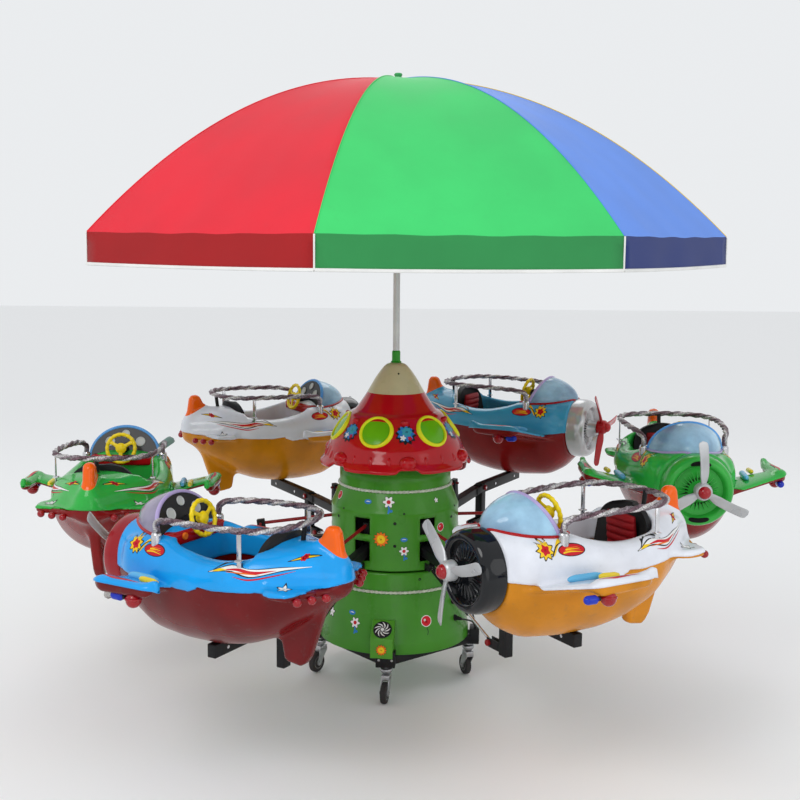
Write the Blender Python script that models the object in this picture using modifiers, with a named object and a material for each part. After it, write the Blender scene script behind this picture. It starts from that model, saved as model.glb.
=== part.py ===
# Umbrella aeroplane roundabout for small children.
# Six plane seats ride on lifting arms round a green drum with a mushroom cap. The drum turns on a
# castered frame and carries a three metre umbrella.
# Metres, +Z up. The origin is on the floor, on the axis that the drum turns about, and -Y is the front.
import math

import bmesh
import bpy
from mathutils import Matrix, Vector

GAP = 0.0003                 # running gap left between pieces that touch

# Plane seats round the drum: angles run from -Y towards +X, and each plane heads clockwise seen from above
SEATS = ("front_right", "right", "back_right", "back_left", "left", "front_left")
FIRST_SEAT_ANGLE = 30.0
SEAT_STEP = 60.0
LIFT_WAVE = 0.112            # the planes ride a wave: highest at the crest, lowest opposite it
LIFT_CREST_ANGLE = 150.0

# Lifting arms
ARM_PIVOT_R = 0.235          # inside the drum
ARM_PIVOT_Z = 0.690
ARM_LENGTH = 0.715           # between the two pins
ARM_TUBE = 0.045
ROD_ABOVE_ARM = 0.115        # the red pull rod lies this far above the arm's centre line
ROD_REACH = 0.405            # from the arm's pivot to the bracket that the rod ends at
ROD_RADIUS = 0.008
CARRIER_PIN_Z = 0.655        # height of the carrier's pin when its plane has no lift

# Carrier under each plane, measured from its pin
POST_HALF = 0.025
POST_WIDTH = 0.040
BEAM_TOP = 0.025
BEAM_DEPTH = 0.055
BEAM_REACH = 0.480
POST_FOOT = -0.215
FOOT_EYE_Y = -0.105          # the strut's rod slides through the foot bracket here
FOOT_EYE_Z = -0.185
PLANE_Y = 0.400              # the plane's centre line lies this far outside the pin

# Strut from the drum's skirt to the foot of the post
STRUT_PIVOT_R = 0.335
STRUT_PIVOT_Z = 0.619
STRUT_BARREL_RADIUS = 0.012
STRUT_ROD_RADIUS = 0.007
STRUT_BARREL_REACH = 0.350
STRUT_ROD_REACH = 0.574      # long enough for the lowest plane, short of the post at the highest
EYE_RADIUS = 0.012
EYE_HALF = 0.010
PLATE = 0.006                # thickness of lug and bracket plates

# Rotating upper drum
DRUM_RADIUS = 0.307
DRUM_BOTTOM = 0.600
DRUM_SHOULDER = 0.872
NECK_BASE = 0.945
NECK_RADIUS = 0.267
NECK_TOP = 1.100
DRUM_WALL = 0.012
CORE_RADIUS = 0.190
LOWER_WINDOW = (0.6425, 0.7375)
UPPER_WINDOW = (0.768, 0.846)
WINDOW_WIDTH = 0.084

# Mushroom cap on the drum's neck
CAP_RIM_Z = 1.062
CAP_RIM_RADIUS = 0.365
CAP_SHOULDER_Z = 1.305
CAP_TIP_Z = 1.543

# Umbrella
SOCKET_TOP = 1.594
SOCKET_RADIUS = 0.020
POLE_RADIUS = 0.016
CANOPY_RADIUS = 1.500        # at the eight corners
CANOPY_RIM_Z = 2.148
CANOPY_APEX_Z = 2.858
CANOPY_CURVE = 2.15          # power of the fall from the apex to the rim
VALANCE_DROP = 0.130
CLOTH = 0.005
FIRST_RIB_ANGLE = -56.1      # from -Y towards +X
RIB_RADIUS = 0.005
RUNNER_Z = 2.140
CANOPY_BENDS = (0.15, 0.36, 0.56, 0.74, 0.88, 1.0)     # shares of the radius where the cloth bends
STRETCHER_BEND = 2           # the stretchers meet the ribs at this bend

# Fixed base
BASE_TOP = 0.592
BASE_TOP_RADIUS = 0.310
BASE_BOTTOM_RADIUS = 0.365
FRAME_TOP = 0.220
FRAME_BOTTOM = 0.180
FRAME_CORNER_R = 0.415       # from the axis to each corner of the square frame
FRAME_ANGLE = -5.5           # of the front corner
BAR_WIDTH = 0.040
BLOCK_HALF = 0.045           # the corner block over each caster
BLOCK_TOP = 0.252

# Two short leads from glands in the base to the frame's right corner
LEAD_ANGLE = 57.0
LEAD_HEIGHTS = (0.425, 0.345)
LEAD_PLUG = 0.022            # the glands stand out this far
LEAD_RADIUS = 0.004
LEAD_END_ANGLES = (88.0, 80.0)
LEAD_END_R = 0.400

# Control box on the front of the base
BOX_ANGLE = -8.0
BOX_WIDTH = 0.105
BOX_FRONT_R = 0.420
BOX_TOP_R = 0.345
BOX_BOTTOM = FRAME_TOP + GAP
BOX_LIP = 0.312
BOX_TOP = 0.380

# Casters
CASTER_R = 0.365
WHEEL_RADIUS = 0.050
WHEEL_WIDTH = 0.030
CASTER_TRAIL = 0.032
CASTER_TURNS = (168.0, 20.0, 200.0, 145.0)   # which way each caster has swivelled, front, right, back, left

# Plane seat, measured forwards (x), away from the drum (y) and up from the top of the belly beam (z)
HULL_STATIONS = (            # x, half width, bottom, waist, top
    (0.500, 0.112, 0.172, 0.285, 0.398),
    (0.482, 0.152, 0.133, 0.285, 0.437),
    (0.365, 0.162, 0.123, 0.285, 0.447),
    (0.350, 0.188, 0.070, 0.280, 0.451),
    (0.250, 0.222, 0.010, 0.285, 0.455),
    (0.100, 0.254, 0.000, 0.290, 0.452),
    (-0.080, 0.268, 0.000, 0.285, 0.446),
    (-0.220, 0.262, 0.006, 0.290, 0.446),
    (-0.330, 0.228, 0.060, 0.295, 0.450),
    (-0.430, 0.160, 0.150, 0.305, 0.440),
    (-0.520, 0.088, 0.225, 0.315, 0.415),
    (-0.580, 0.050, 0.265, 0.320, 0.385),
)
HULL_SIDES = 12
HULL_SQUARENESS = 2.5
RIM_SCOOP_RADIUS = 0.464     # the cockpit's sides dip in a long curve
RIM_SCOOP_X = -0.115
RIM_LOW_Z = 0.380
COCKPIT_BACK = -0.315
COCKPIT_FRONT = 0.125
COCKPIT_HALF = 0.175
SEAT_FRONT = -0.060
SEAT_Z = 0.220
FOOTWELL_Z = 0.150
SCREEN_X = 0.165
SCREEN_Z = 0.425
SCREEN_SIZE = (0.240, 0.170, 0.143)
HUB_Z = 0.305
HUB_BACK = 0.525
HUB_FRONT = 0.575
BLADE_REACH = 0.225
WING_Z = 0.300
POD_Y = 0.448
RING_Z = 0.512
RING_TUBE = 0.015
RING_FEET = (0.170, 0.188, 0.446)
SIDE_POSTS = (-0.250, 0.224, 0.405)
BACK_POST = (-0.374, 0.0, 0.462)
WHEEL_CENTRE = (0.095, 0.0, 0.475)
WHEEL_TILT = 14.0
WHEEL_RIM = 0.068
WHEEL_TUBE = 0.009
BLADE_TURNS = (47.0, 3.0, 36.0, 60.0, 50.0, -45.0)   # how far each propeller has spun, in the order of the seats
COLUMN_START = 0.025         # the dash's column boss ends this far ahead of the steering wheel

HUES = {                     # colour, roughness, metallic
    "drum_green": ((0.050, 0.230, 0.020), 0.35, 0.0),
    "cap_red": ((0.440, 0.005, 0.010), 0.15, 0.0),
    "black_paint": ((0.012, 0.012, 0.013), 0.45, 0.0),
    "pole_grey": ((0.600, 0.600, 0.580), 0.35, 0.3),
    "canopy_cloth": ((0.060, 0.450, 0.140), 0.80, 0.0),
    "chrome": ((0.700, 0.700, 0.720), 0.20, 1.0),
    "rod_red": ((0.200, 0.010, 0.010), 0.40, 0.0),
    "tyre_grey": ((0.045, 0.042, 0.045), 0.60, 0.0),
    "rope_wrap": ((0.330, 0.240, 0.260), 0.90, 0.0),
    "wheel_yellow": ((0.800, 0.600, 0.020), 0.30, 0.0),
    "shell_white": ((0.720, 0.740, 0.780), 0.18, 0.0),
    "shell_green": ((0.040, 0.420, 0.070), 0.18, 0.0),
    "shell_blue": ((0.020, 0.330, 0.780), 0.18, 0.0),
    "shell_sky": ((0.060, 0.330, 0.520), 0.18, 0.0),
    "blade_silver": ((0.420, 0.430, 0.450), 0.30, 0.8),
    "blade_red": ((0.450, 0.010, 0.015), 0.25, 0.0),
    "lead_black": ((0.010, 0.010, 0.010), 0.50, 0.0),
}
SHELL_HUES = ("shell_white", "shell_green", "shell_sky", "shell_white", "shell_green", "shell_blue")
BLADE_HUES = ("blade_silver", "blade_silver", "blade_red", "blade_silver", "blade_silver", "blade_silver")


def clear_scene():
    for thing in list(bpy.data.objects):
        bpy.data.objects.remove(thing, do_unlink=True)


def collection(name):
    folder = bpy.data.collections.new(name)
    bpy.context.scene.collection.children.link(folder)
    return folder


def material(hue):
    known = bpy.data.materials.get(hue)
    if known:
        return known
    colour, roughness, metallic = HUES[hue]
    made = bpy.data.materials.new(hue)
    made.use_nodes = True
    shader = made.node_tree.nodes["Principled BSDF"]
    shader.inputs["Base Color"].default_value = (*colour, 1.0)
    shader.inputs["Roughness"].default_value = roughness
    shader.inputs["Metallic"].default_value = metallic
    made.diffuse_color = (*colour, 1.0)
    return made


def shape_from(bm, name="shape"):
    """A working shape, kept out of the model until it is joined."""
    bmesh.ops.recalc_face_normals(bm, faces=bm.faces)
    mesh = bpy.data.meshes.new(name)
    bm.to_mesh(mesh)
    bm.free()
    shape = bpy.data.objects.new(name, mesh)
    WORKSHOP.objects.link(shape)
    shape.hide_render = True
    shape.display_type = "WIRE"
    return shape


def box(low, high):
    bm = bmesh.new()
    bmesh.ops.create_cube(bm, size=1.0)
    size = [b - a for a, b in zip(low, high)]
    middle = [(a + b) / 2 for a, b in zip(low, high)]
    bmesh.ops.scale(bm, vec=size, verts=bm.verts)
    bmesh.ops.translate(bm, vec=middle, verts=bm.verts)
    return shape_from(bm)


def rod(start, end, radius, sides=12, end_radius=None):
    """A round bar, or a cone, between two points."""
    start, end = Vector(start), Vector(end)
    bm = bmesh.new()
    bmesh.ops.create_cone(bm, cap_ends=True, segments=sides, radius1=radius,
                          radius2=radius if end_radius is None else end_radius,
                          depth=(end - start).length)
    turn = (end - start).to_track_quat("Z", "Y").to_matrix().to_4x4()
    bmesh.ops.transform(bm, matrix=Matrix.Translation((start + end) / 2) @ turn, verts=bm.verts)
    return shape_from(bm)


def ball(centre, radii, around=12, rings=8):
    bm = bmesh.new()
    bmesh.ops.create_uvsphere(bm, u_segments=around, v_segments=rings, radius=1.0)
    bmesh.ops.scale(bm, vec=radii, verts=bm.verts)
    bmesh.ops.translate(bm, vec=centre, verts=bm.verts)
    return shape_from(bm)


def turned(profile, steps, start_angle=0.0):
    """A profile of (radius, height) points, listed down its outer side, turned about Z."""
    mesh = bpy.data.meshes.new("profile")
    points = [(radius, 0.0, height) for radius, height in profile]
    edges = [(i, i + 1) for i in range(len(points) - 1)]
    closed = profile[0][0] > 0 or profile[-1][0] > 0
    if closed:
        edges.append((len(points) - 1, 0))
    mesh.from_pydata(points, edges, [])
    lathe = bpy.data.objects.new("profile", mesh)
    WORKSHOP.objects.link(lathe)
    screw = lathe.modifiers.new("turn", "SCREW")
    screw.steps = steps
    screw.render_steps = steps
    screw.use_merge_vertices = True
    screw.merge_threshold = 0.0001
    mesh = evaluated_mesh(lathe)
    bm = bmesh.new()
    bm.from_mesh(mesh)
    bmesh.ops.remove_doubles(bm, verts=bm.verts, dist=0.00001)
    bmesh.ops.rotate(bm, cent=(0, 0, 0), matrix=Matrix.Rotation(start_angle, 3, "Z"), verts=bm.verts)
    return shape_from(bm)


def outline_plate(points, thickness):
    """A flat outline in XY made into a plate, half its thickness to each side of z = 0."""
    curve = bpy.data.curves.new("outline", "CURVE")
    curve.dimensions = "2D"
    curve.fill_mode = "BOTH"
    curve.extrude = thickness / 2
    line = curve.splines.new("POLY")
    line.points.add(len(points) - 1)
    for point, (x, y) in zip(line.points, points):
        point.co = (x, y, 0.0, 1.0)
    line.use_cyclic_u = True
    return curve_shape(curve)


def side_plate(points, thickness):
    """A plate from an outline of (x, z) points, standing on the plane y = 0."""
    return moved(outline_plate(points, thickness), Matrix.Rotation(math.radians(90.0), 4, "X"))


def standing_plate(points, thickness):
    """A plate from an outline of (y, z) points, standing on the plane x = 0."""
    return moved(side_plate(points, thickness), Matrix.Rotation(math.radians(90.0), 4, "Z"))


def tube(points, radius, sides=0, cyclic=False):
    """A round tube along a smooth run of points; sides 0, 1 and 2 give 4, 6 and 8 faces round it."""
    curve = bpy.data.curves.new("route", "CURVE")
    curve.dimensions = "3D"
    curve.bevel_depth = radius
    curve.bevel_resolution = sides
    curve.use_fill_caps = not cyclic
    line = curve.splines.new("POLY")
    line.points.add(len(points) - 1)
    for point, place in zip(line.points, points):
        point.co = (*place, 1.0)
    line.use_cyclic_u = cyclic
    return curve_shape(curve)


def curve_shape(curve):
    """A curve made into a closed mesh, its loose caps welded."""
    holder = bpy.data.objects.new("route", curve)
    WORKSHOP.objects.link(holder)
    mesh = evaluated_mesh(holder)
    bm = bmesh.new()
    bm.from_mesh(mesh)
    bmesh.ops.remove_doubles(bm, verts=bm.verts, dist=0.00001)
    return shape_from(bm)


def evaluated_mesh(thing):
    """The mesh that a working object's modifiers give; the object is used up."""
    scene_now = bpy.context.evaluated_depsgraph_get()
    mesh = bpy.data.meshes.new_from_object(thing.evaluated_get(scene_now))
    bpy.data.objects.remove(thing, do_unlink=True)
    return mesh


def moved(shape, matrix):
    shape.data.transform(matrix)
    return shape


def smooth_run(knots, count):
    """Points along a Catmull-Rom curve through the knots."""
    knots = [Vector(k) for k in knots]
    padded = [knots[0] * 2 - knots[1], *knots, knots[-1] * 2 - knots[-2]]
    run = []
    spans = len(knots) - 1
    for step in range(count):
        place = step / (count - 1) * spans
        span = min(int(place), spans - 1)
        t = place - span
        a, b, c, d = padded[span:span + 4]
        run.append(0.5 * (2 * b + (c - a) * t + (2 * a - 5 * b + 4 * c - d) * t * t
                          + (3 * b - a - 3 * c + d) * t ** 3))
    return run


def fused(shapes, cuts=(), later=()):
    """One solid: the shapes joined, the cuts taken out, and the later shapes joined after that."""
    base = shapes[0]
    steps = [("UNION", s) for s in shapes[1:]] + [("DIFFERENCE", s) for s in cuts]
    steps += [("UNION", s) for s in later]
    for operation, tool in steps:
        boolean = base.modifiers.new(operation.lower(), "BOOLEAN")
        boolean.operation = operation
        boolean.solver = "EXACT"
        boolean.object = tool
    mesh = evaluated_mesh(base)
    for _, tool in steps:
        bpy.data.objects.remove(tool, do_unlink=True)
    return cleaned(mesh)


def cleaned(mesh):
    """Doubled points merged and flat faces left in one piece where they can be."""
    bm = bmesh.new()
    bm.from_mesh(mesh)
    bmesh.ops.remove_doubles(bm, verts=bm.verts, dist=0.00002)
    bmesh.ops.dissolve_degenerate(bm, edges=bm.edges, dist=0.00002)
    bm.to_mesh(mesh)
    bm.free()
    return mesh


def place(name, mesh, hue, matrix=None):
    """Puts a finished mesh in the model as a named piece with its own colour."""
    piece = bpy.data.objects.new(name, mesh)
    MODEL.objects.link(piece)
    if not mesh.materials:
        mesh.materials.append(material(hue))
    piece.material_slots[0].link = "OBJECT"
    piece.material_slots[0].material = material(hue)
    if matrix is not None:
        piece.matrix_world = matrix
    return piece


def around(angle):
    """Turns +Y outwards at an angle counted from -Y towards +X; +X then heads clockwise."""
    return Matrix.Rotation(math.radians(angle + 180.0), 4, "Z")


def ring_radius(height, cut=0.0):
    """Radius of the fixed base's side at a height."""
    share = (BASE_TOP - height) / (BASE_TOP - FRAME_TOP)
    return BASE_TOP_RADIUS + share * (BASE_BOTTOM_RADIUS - BASE_TOP_RADIUS) + cut


def base_profile(skin=0.0):
    """Fixed lower drum: its side flares downwards and a bearing boss stands on top."""
    boss = 0.250
    return [(0.0, DRUM_BOTTOM - GAP), (boss, DRUM_BOTTOM - GAP), (boss, BASE_TOP),
            (BASE_TOP_RADIUS - 0.006 + skin, BASE_TOP), (BASE_TOP_RADIUS + skin, BASE_TOP - 0.008),
            (ring_radius(0.40) - 0.006 + skin, 0.40), (BASE_BOTTOM_RADIUS - 0.004 + skin, 0.27),
            (BASE_BOTTOM_RADIUS + skin, FRAME_TOP + GAP), (0.0, FRAME_TOP + GAP)]


def make_base():
    body = turned(base_profile(), 36)
    plugs = []
    for height in LEAD_HEIGHTS:
        inner = lead_point(LEAD_ANGLE, ring_radius(height) - 0.030, height)
        outer = lead_point(LEAD_ANGLE, ring_radius(height) + LEAD_PLUG, height)
        plugs.append(rod(inner, outer, 0.011, 10))
    place("base_drum", fused([body], later=plugs), "drum_green")


def lead_point(angle, radius, height):
    turn = math.radians(angle)
    return Vector((radius * math.sin(turn), -radius * math.cos(turn), height))


def make_leads():
    """Two short black leads that hang from their glands to the frame's right corner."""
    for name, height, end_angle in zip(("upper", "lower"), LEAD_HEIGHTS, LEAD_END_ANGLES):
        exit_r = ring_radius(height) + LEAD_PLUG
        start = lead_point(LEAD_ANGLE, exit_r + GAP, height)
        straight = lead_point(LEAD_ANGLE, exit_r + 0.012, height)
        end = lead_point(end_angle, LEAD_END_R, BLOCK_TOP + GAP)
        above = end + Vector((0, 0, 0.012))
        middle = (straight + above) / 2 + lead_point(LEAD_ANGLE, 0.016, 0.010)
        route = [start] + smooth_run([straight, middle, above], 16) + [end]
        mesh = cleaned(tube(route, LEAD_RADIUS, 1).data)
        place("lead_" + name, mesh, "lead_black")


def make_frame():
    """A square frame of box tube, set corner on, with a block over each caster."""
    side = FRAME_CORNER_R / math.sqrt(2)
    outer = box((-side, -side, FRAME_BOTTOM), (side, side, FRAME_TOP))
    inner = side - BAR_WIDTH
    hole = box((-inner, -inner, FRAME_BOTTOM - 0.01), (inner, inner, FRAME_TOP + 0.01))
    low = FRAME_BOTTOM - 0.003
    reach = FRAME_CORNER_R + 0.003
    step = BASE_BOTTOM_RADIUS + 0.006
    outline = [(0.315, low), (reach, low), (reach, BLOCK_TOP), (step, BLOCK_TOP), (step, FRAME_TOP - 0.001),
               (0.315, FRAME_TOP - 0.001)]
    blocks = []
    for corner in range(4):
        turn = Matrix.Rotation(math.radians(45.0 + 90.0 * corner), 4, "Z")
        blocks.append(moved(standing_plate(outline, 2 * BLOCK_HALF), turn))
    mesh = fused([outer], [hole], blocks)
    place("base_frame", mesh, "black_paint", Matrix.Rotation(math.radians(FRAME_ANGLE + 45.0), 4, "Z"))


def make_control_box():
    """A wedge-topped switch box on the front, cut to the drum's curve and clear of the frame."""
    outline = [(0.25, BOX_BOTTOM), (BOX_FRONT_R, BOX_BOTTOM), (BOX_FRONT_R, BOX_LIP),
               (BOX_TOP_R, BOX_TOP), (0.25, BOX_TOP)]
    plate = moved(standing_plate(outline, BOX_WIDTH), around(BOX_ANGLE))
    drum = turned(base_profile(GAP), 36)
    corner = Matrix.Rotation(math.radians(FRAME_ANGLE), 4, "Z")
    block = box((-BLOCK_HALF - GAP, -FRAME_CORNER_R - 0.1, 0.15), (BLOCK_HALF + GAP, -0.25, BLOCK_TOP + GAP))
    place("control_box", fused([plate], [drum, moved(block, corner)]), "drum_green")


def make_casters():
    """Four swivel casters; each fork turns about its stem and each wheel about its axle."""
    top = FRAME_BOTTOM - 0.003 - GAP
    half = WHEEL_WIDTH / 2
    plate = 0.004
    fork_mesh = fused([
        rod((0, 0, top), (0, 0, 0.125), 0.012, 10),
        rod((0, 0, top - 0.020), (0, 0, top - 0.034), 0.027, 10),
        box((-half - GAP - plate, -0.026, 0.106), (half + GAP + plate, 0.026, 0.128)),
    ], later=[
        box((-half - GAP - plate, -0.020, 0.030), (-half - GAP, 0.026, 0.112)),
        box((half + GAP, -0.020, 0.030), (half + GAP + plate, 0.026, 0.112)),
    ])
    shear_fork(fork_mesh)
    sides = 16
    outside = WHEEL_RADIUS / math.cos(math.pi / sides)
    tread = [(0.0, half), (0.016, half), (0.018, half - 0.004), (outside - 0.006, half - 0.002),
             (outside, half - 0.008), (outside, 0.008 - half), (outside - 0.006, 0.002 - half),
             (0.018, 0.004 - half), (0.016, -half), (0.0, -half)]
    wheel_mesh = moved(turned(tread, sides, math.pi / sides), Matrix.Rotation(math.radians(90.0), 4, "Y")).data
    for number, turn in enumerate(CASTER_TURNS):
        angle = FRAME_ANGLE + 90.0 * number
        stem = lead_point(angle, CASTER_R, 0.0)
        swivel = Matrix.Translation(stem) @ Matrix.Rotation(math.radians(turn), 4, "Z")
        axle = Matrix.Translation((0, CASTER_TRAIL, WHEEL_RADIUS))
        label = ("front", "right", "back", "left")[number]
        place("caster_fork_" + label, fork_mesh, "chrome", swivel)
        place("caster_wheel_" + label, wheel_mesh, "tyre_grey", swivel @ axle)


def shear_fork(mesh):
    """Leans the fork's two plates back so that they reach the axle behind the stem."""
    crown = 0.106
    axle = WHEEL_RADIUS
    for vertex in mesh.vertices:
        if vertex.co.z < crown:
            vertex.co.y += CASTER_TRAIL * (crown - vertex.co.z) / (crown - axle)
            if vertex.co.z < axle:
                vertex.co.y -= CASTER_TRAIL * (axle - vertex.co.z) / (crown - axle)


def make_upper_drum():
    """The turning drum: a hollow shell round a core, with two windows and two lugs for every arm."""
    shell = turned([
        (0.0, NECK_TOP), (NECK_RADIUS - 0.012, NECK_TOP), (NECK_RADIUS, CAP_RIM_Z - 0.02),
        (NECK_RADIUS, NECK_BASE), (DRUM_RADIUS, DRUM_SHOULDER), (DRUM_RADIUS, DRUM_BOTTOM),
        (0.0, DRUM_BOTTOM)], 32)
    inside = DRUM_RADIUS - DRUM_WALL
    cavity = turned([(CORE_RADIUS, DRUM_SHOULDER - 0.008), (inside, DRUM_SHOULDER - 0.008),
                     (inside, DRUM_BOTTOM + 0.014), (CORE_RADIUS, DRUM_BOTTOM + 0.014)], 32)
    lugs, windows = [], []
    for seat in range(len(SEATS)):
        turn = around(FIRST_SEAT_ANGLE + SEAT_STEP * seat)
        for low, high in (LOWER_WINDOW, UPPER_WINDOW):
            hole = box((-WINDOW_WIDTH / 2, inside - 0.02, low), (WINDOW_WIDTH / 2, DRUM_RADIUS + 0.02, high))
            windows.append(moved(hole, turn))
        arm_side = ARM_TUBE / 2 + GAP
        for side in (-1, 1):
            near, far = sorted((side * arm_side, side * (arm_side + 0.009)))
            lug = box((near, CORE_RADIUS - 0.02, ARM_PIVOT_Z - 0.024), (far, ARM_PIVOT_R + 0.026, ARM_PIVOT_Z + 0.024))
            lugs.append(moved(lug, turn))
            near, far = sorted((side * (EYE_HALF + GAP), side * (EYE_HALF + GAP + PLATE)))
            ear = box((near, DRUM_RADIUS - 0.008, DRUM_BOTTOM + 0.001),
                      (far, STRUT_PIVOT_R + 0.015, STRUT_PIVOT_Z + 0.016))
            lugs.append(moved(ear, turn))
    place("upper_drum", fused([shell], [cavity] + windows, lugs), "drum_green")


def make_cap():
    """The mushroom cap with its cream tip and six lamp bosses."""
    cap = turned([
        (0.0, CAP_TIP_Z), (0.026, CAP_TIP_Z), (0.052, 1.531), (0.098, 1.470), (0.136, 1.403),
        (0.203, CAP_SHOULDER_Z), (0.228, 1.285), (0.318, 1.165), (0.335, 1.120),
        (CAP_RIM_RADIUS, 1.078), (CAP_RIM_RADIUS, CAP_RIM_Z), (0.340, CAP_RIM_Z),
        (0.325, CAP_RIM_Z + 0.018), (NECK_RADIUS + GAP, CAP_RIM_Z + 0.018),
        (NECK_RADIUS + GAP, NECK_TOP + GAP), (0.0, NECK_TOP + GAP)], 32)
    lamps = []
    for number in range(6):
        turn = around(-20.0 + 60.0 * number)
        face = Vector((0.0, 0.277, 1.205))
        out = Vector((0.0, math.cos(math.radians(37.0)), math.sin(math.radians(37.0))))
        lamps.append(moved(rod(face - out * 0.03, face + out * 0.018, 0.082, 10, 0.070), turn))
    place("mushroom_cap", fused([cap], later=lamps), "cap_red")


def canopy_height(radius):
    share = radius / CANOPY_RADIUS
    return CANOPY_APEX_Z - (CANOPY_APEX_Z - CANOPY_RIM_Z) * share ** CANOPY_CURVE


def rib_start():
    """Turns a Screw profile, which starts on +X, to the first rib."""
    return math.radians(FIRST_RIB_ANGLE - 90.0)


def make_canopy():
    """Eight cloth panels between the ribs, with a valance hanging from the rim and a knob on top."""
    radii = [CANOPY_RADIUS * share for share in CANOPY_BENDS]
    outer = [(0.0, CANOPY_APEX_Z + 0.030), (0.014, CANOPY_APEX_Z + 0.030), (0.016, CANOPY_APEX_Z)]
    outer += [(radius, canopy_height(radius)) for radius in radii]
    rim = CANOPY_RIM_Z - VALANCE_DROP
    hem = [(CANOPY_RADIUS + 0.006, rim), (CANOPY_RADIUS + 0.006 - CLOTH, rim)]
    inner = [(radius - 0.004, canopy_height(radius) - CLOTH) for radius in reversed(radii)]
    inner += [(0.0, canopy_height(0.0) - CLOTH)]
    mesh = turned(outer + hem + inner, 8, rib_start()).data
    place("umbrella_canopy", mesh, "canopy_cloth")


def make_umbrella_frame():
    """Pole with its socket, and under the canopy a crown, a runner, eight ribs and eight stretchers."""
    foot = CAP_TIP_Z + GAP
    top = CANOPY_APEX_Z - CLOTH - 0.001
    crown = top - 0.050
    pole = turned([(0.0, top), (0.012, top), (POLE_RADIUS, top - 0.02), (POLE_RADIUS, SOCKET_TOP),
                   (SOCKET_RADIUS, SOCKET_TOP), (SOCKET_RADIUS, foot), (0.0, foot)], 10)
    parts = [rod((0, 0, crown - 0.02), (0, 0, crown + 0.01), 0.034, 12),
             rod((0, 0, RUNNER_Z - 0.02), (0, 0, RUNNER_Z + 0.02), 0.034, 12)]
    drop = CLOTH + RIB_RADIUS + 0.010
    for number in range(8):
        turn = around(FIRST_RIB_ANGLE + 45.0 * number)
        radii = [CANOPY_RADIUS * share for share in CANOPY_BENDS[:-1]] + [CANOPY_RADIUS - 0.012]
        run = [(0.0, 0.02, crown - 0.002)]
        run += [(0.0, radius, min(canopy_height(radius) - drop, crown - 0.002)) for radius in radii]
        parts.append(moved(tube(run, RIB_RADIUS, 0), turn))
        joint_y, joint_z = run[STRETCHER_BEND + 1][1:]
        joint_z -= 0.006
        clasp = box((-0.008, joint_y - 0.014, joint_z - 0.008), (0.008, joint_y + 0.014, joint_z + 0.004))
        parts.append(moved(clasp, turn))
        stretcher = [(0.0, 0.02, RUNNER_Z), (0.0, joint_y, joint_z)]
        parts.append(moved(tube(stretcher, RIB_RADIUS * 0.8, 0), turn))
    place("umbrella_frame", fused([pole] + parts), "pole_grey")


def hull_point(half_width, bottom, waist, top, share):
    """A point of a hull section, widest at its waist; share runs once round from +Y."""
    turn = 2.0 * math.pi * share
    power = 2.0 / HULL_SQUARENESS
    reach = math.cos(math.pi / HULL_SIDES) ** power      # so that the flat sides lie at the full size
    across, up = math.cos(turn), math.sin(turn)
    tall = top - waist if up > 0 else waist - bottom
    return (math.copysign(abs(across) ** power, across) * half_width / reach,
            waist + math.copysign(abs(up) ** power, up) * tall / reach)


def hull_loft():
    """The fuselage: a loft through its stations, closed at nose and tail."""
    bm = bmesh.new()
    rings = []
    for x, *section in HULL_STATIONS:
        ring = []
        for number in range(HULL_SIDES):
            y, z = hull_point(*section, (number + 0.5) / HULL_SIDES)
            ring.append(bm.verts.new((x, y, z)))
        rings.append(ring)
    for ring, following in zip(rings, rings[1:]):
        for number in range(HULL_SIDES):
            after = (number + 1) % HULL_SIDES
            bm.faces.new((ring[number], following[number], following[after], ring[after]))
    bm.faces.new(rings[0])
    bm.faces.new(rings[-1])
    return shape_from(bm)


def column_axis():
    turn = math.radians(WHEEL_TILT)
    return Vector((math.cos(turn), 0.0, -math.sin(turn)))


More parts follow.
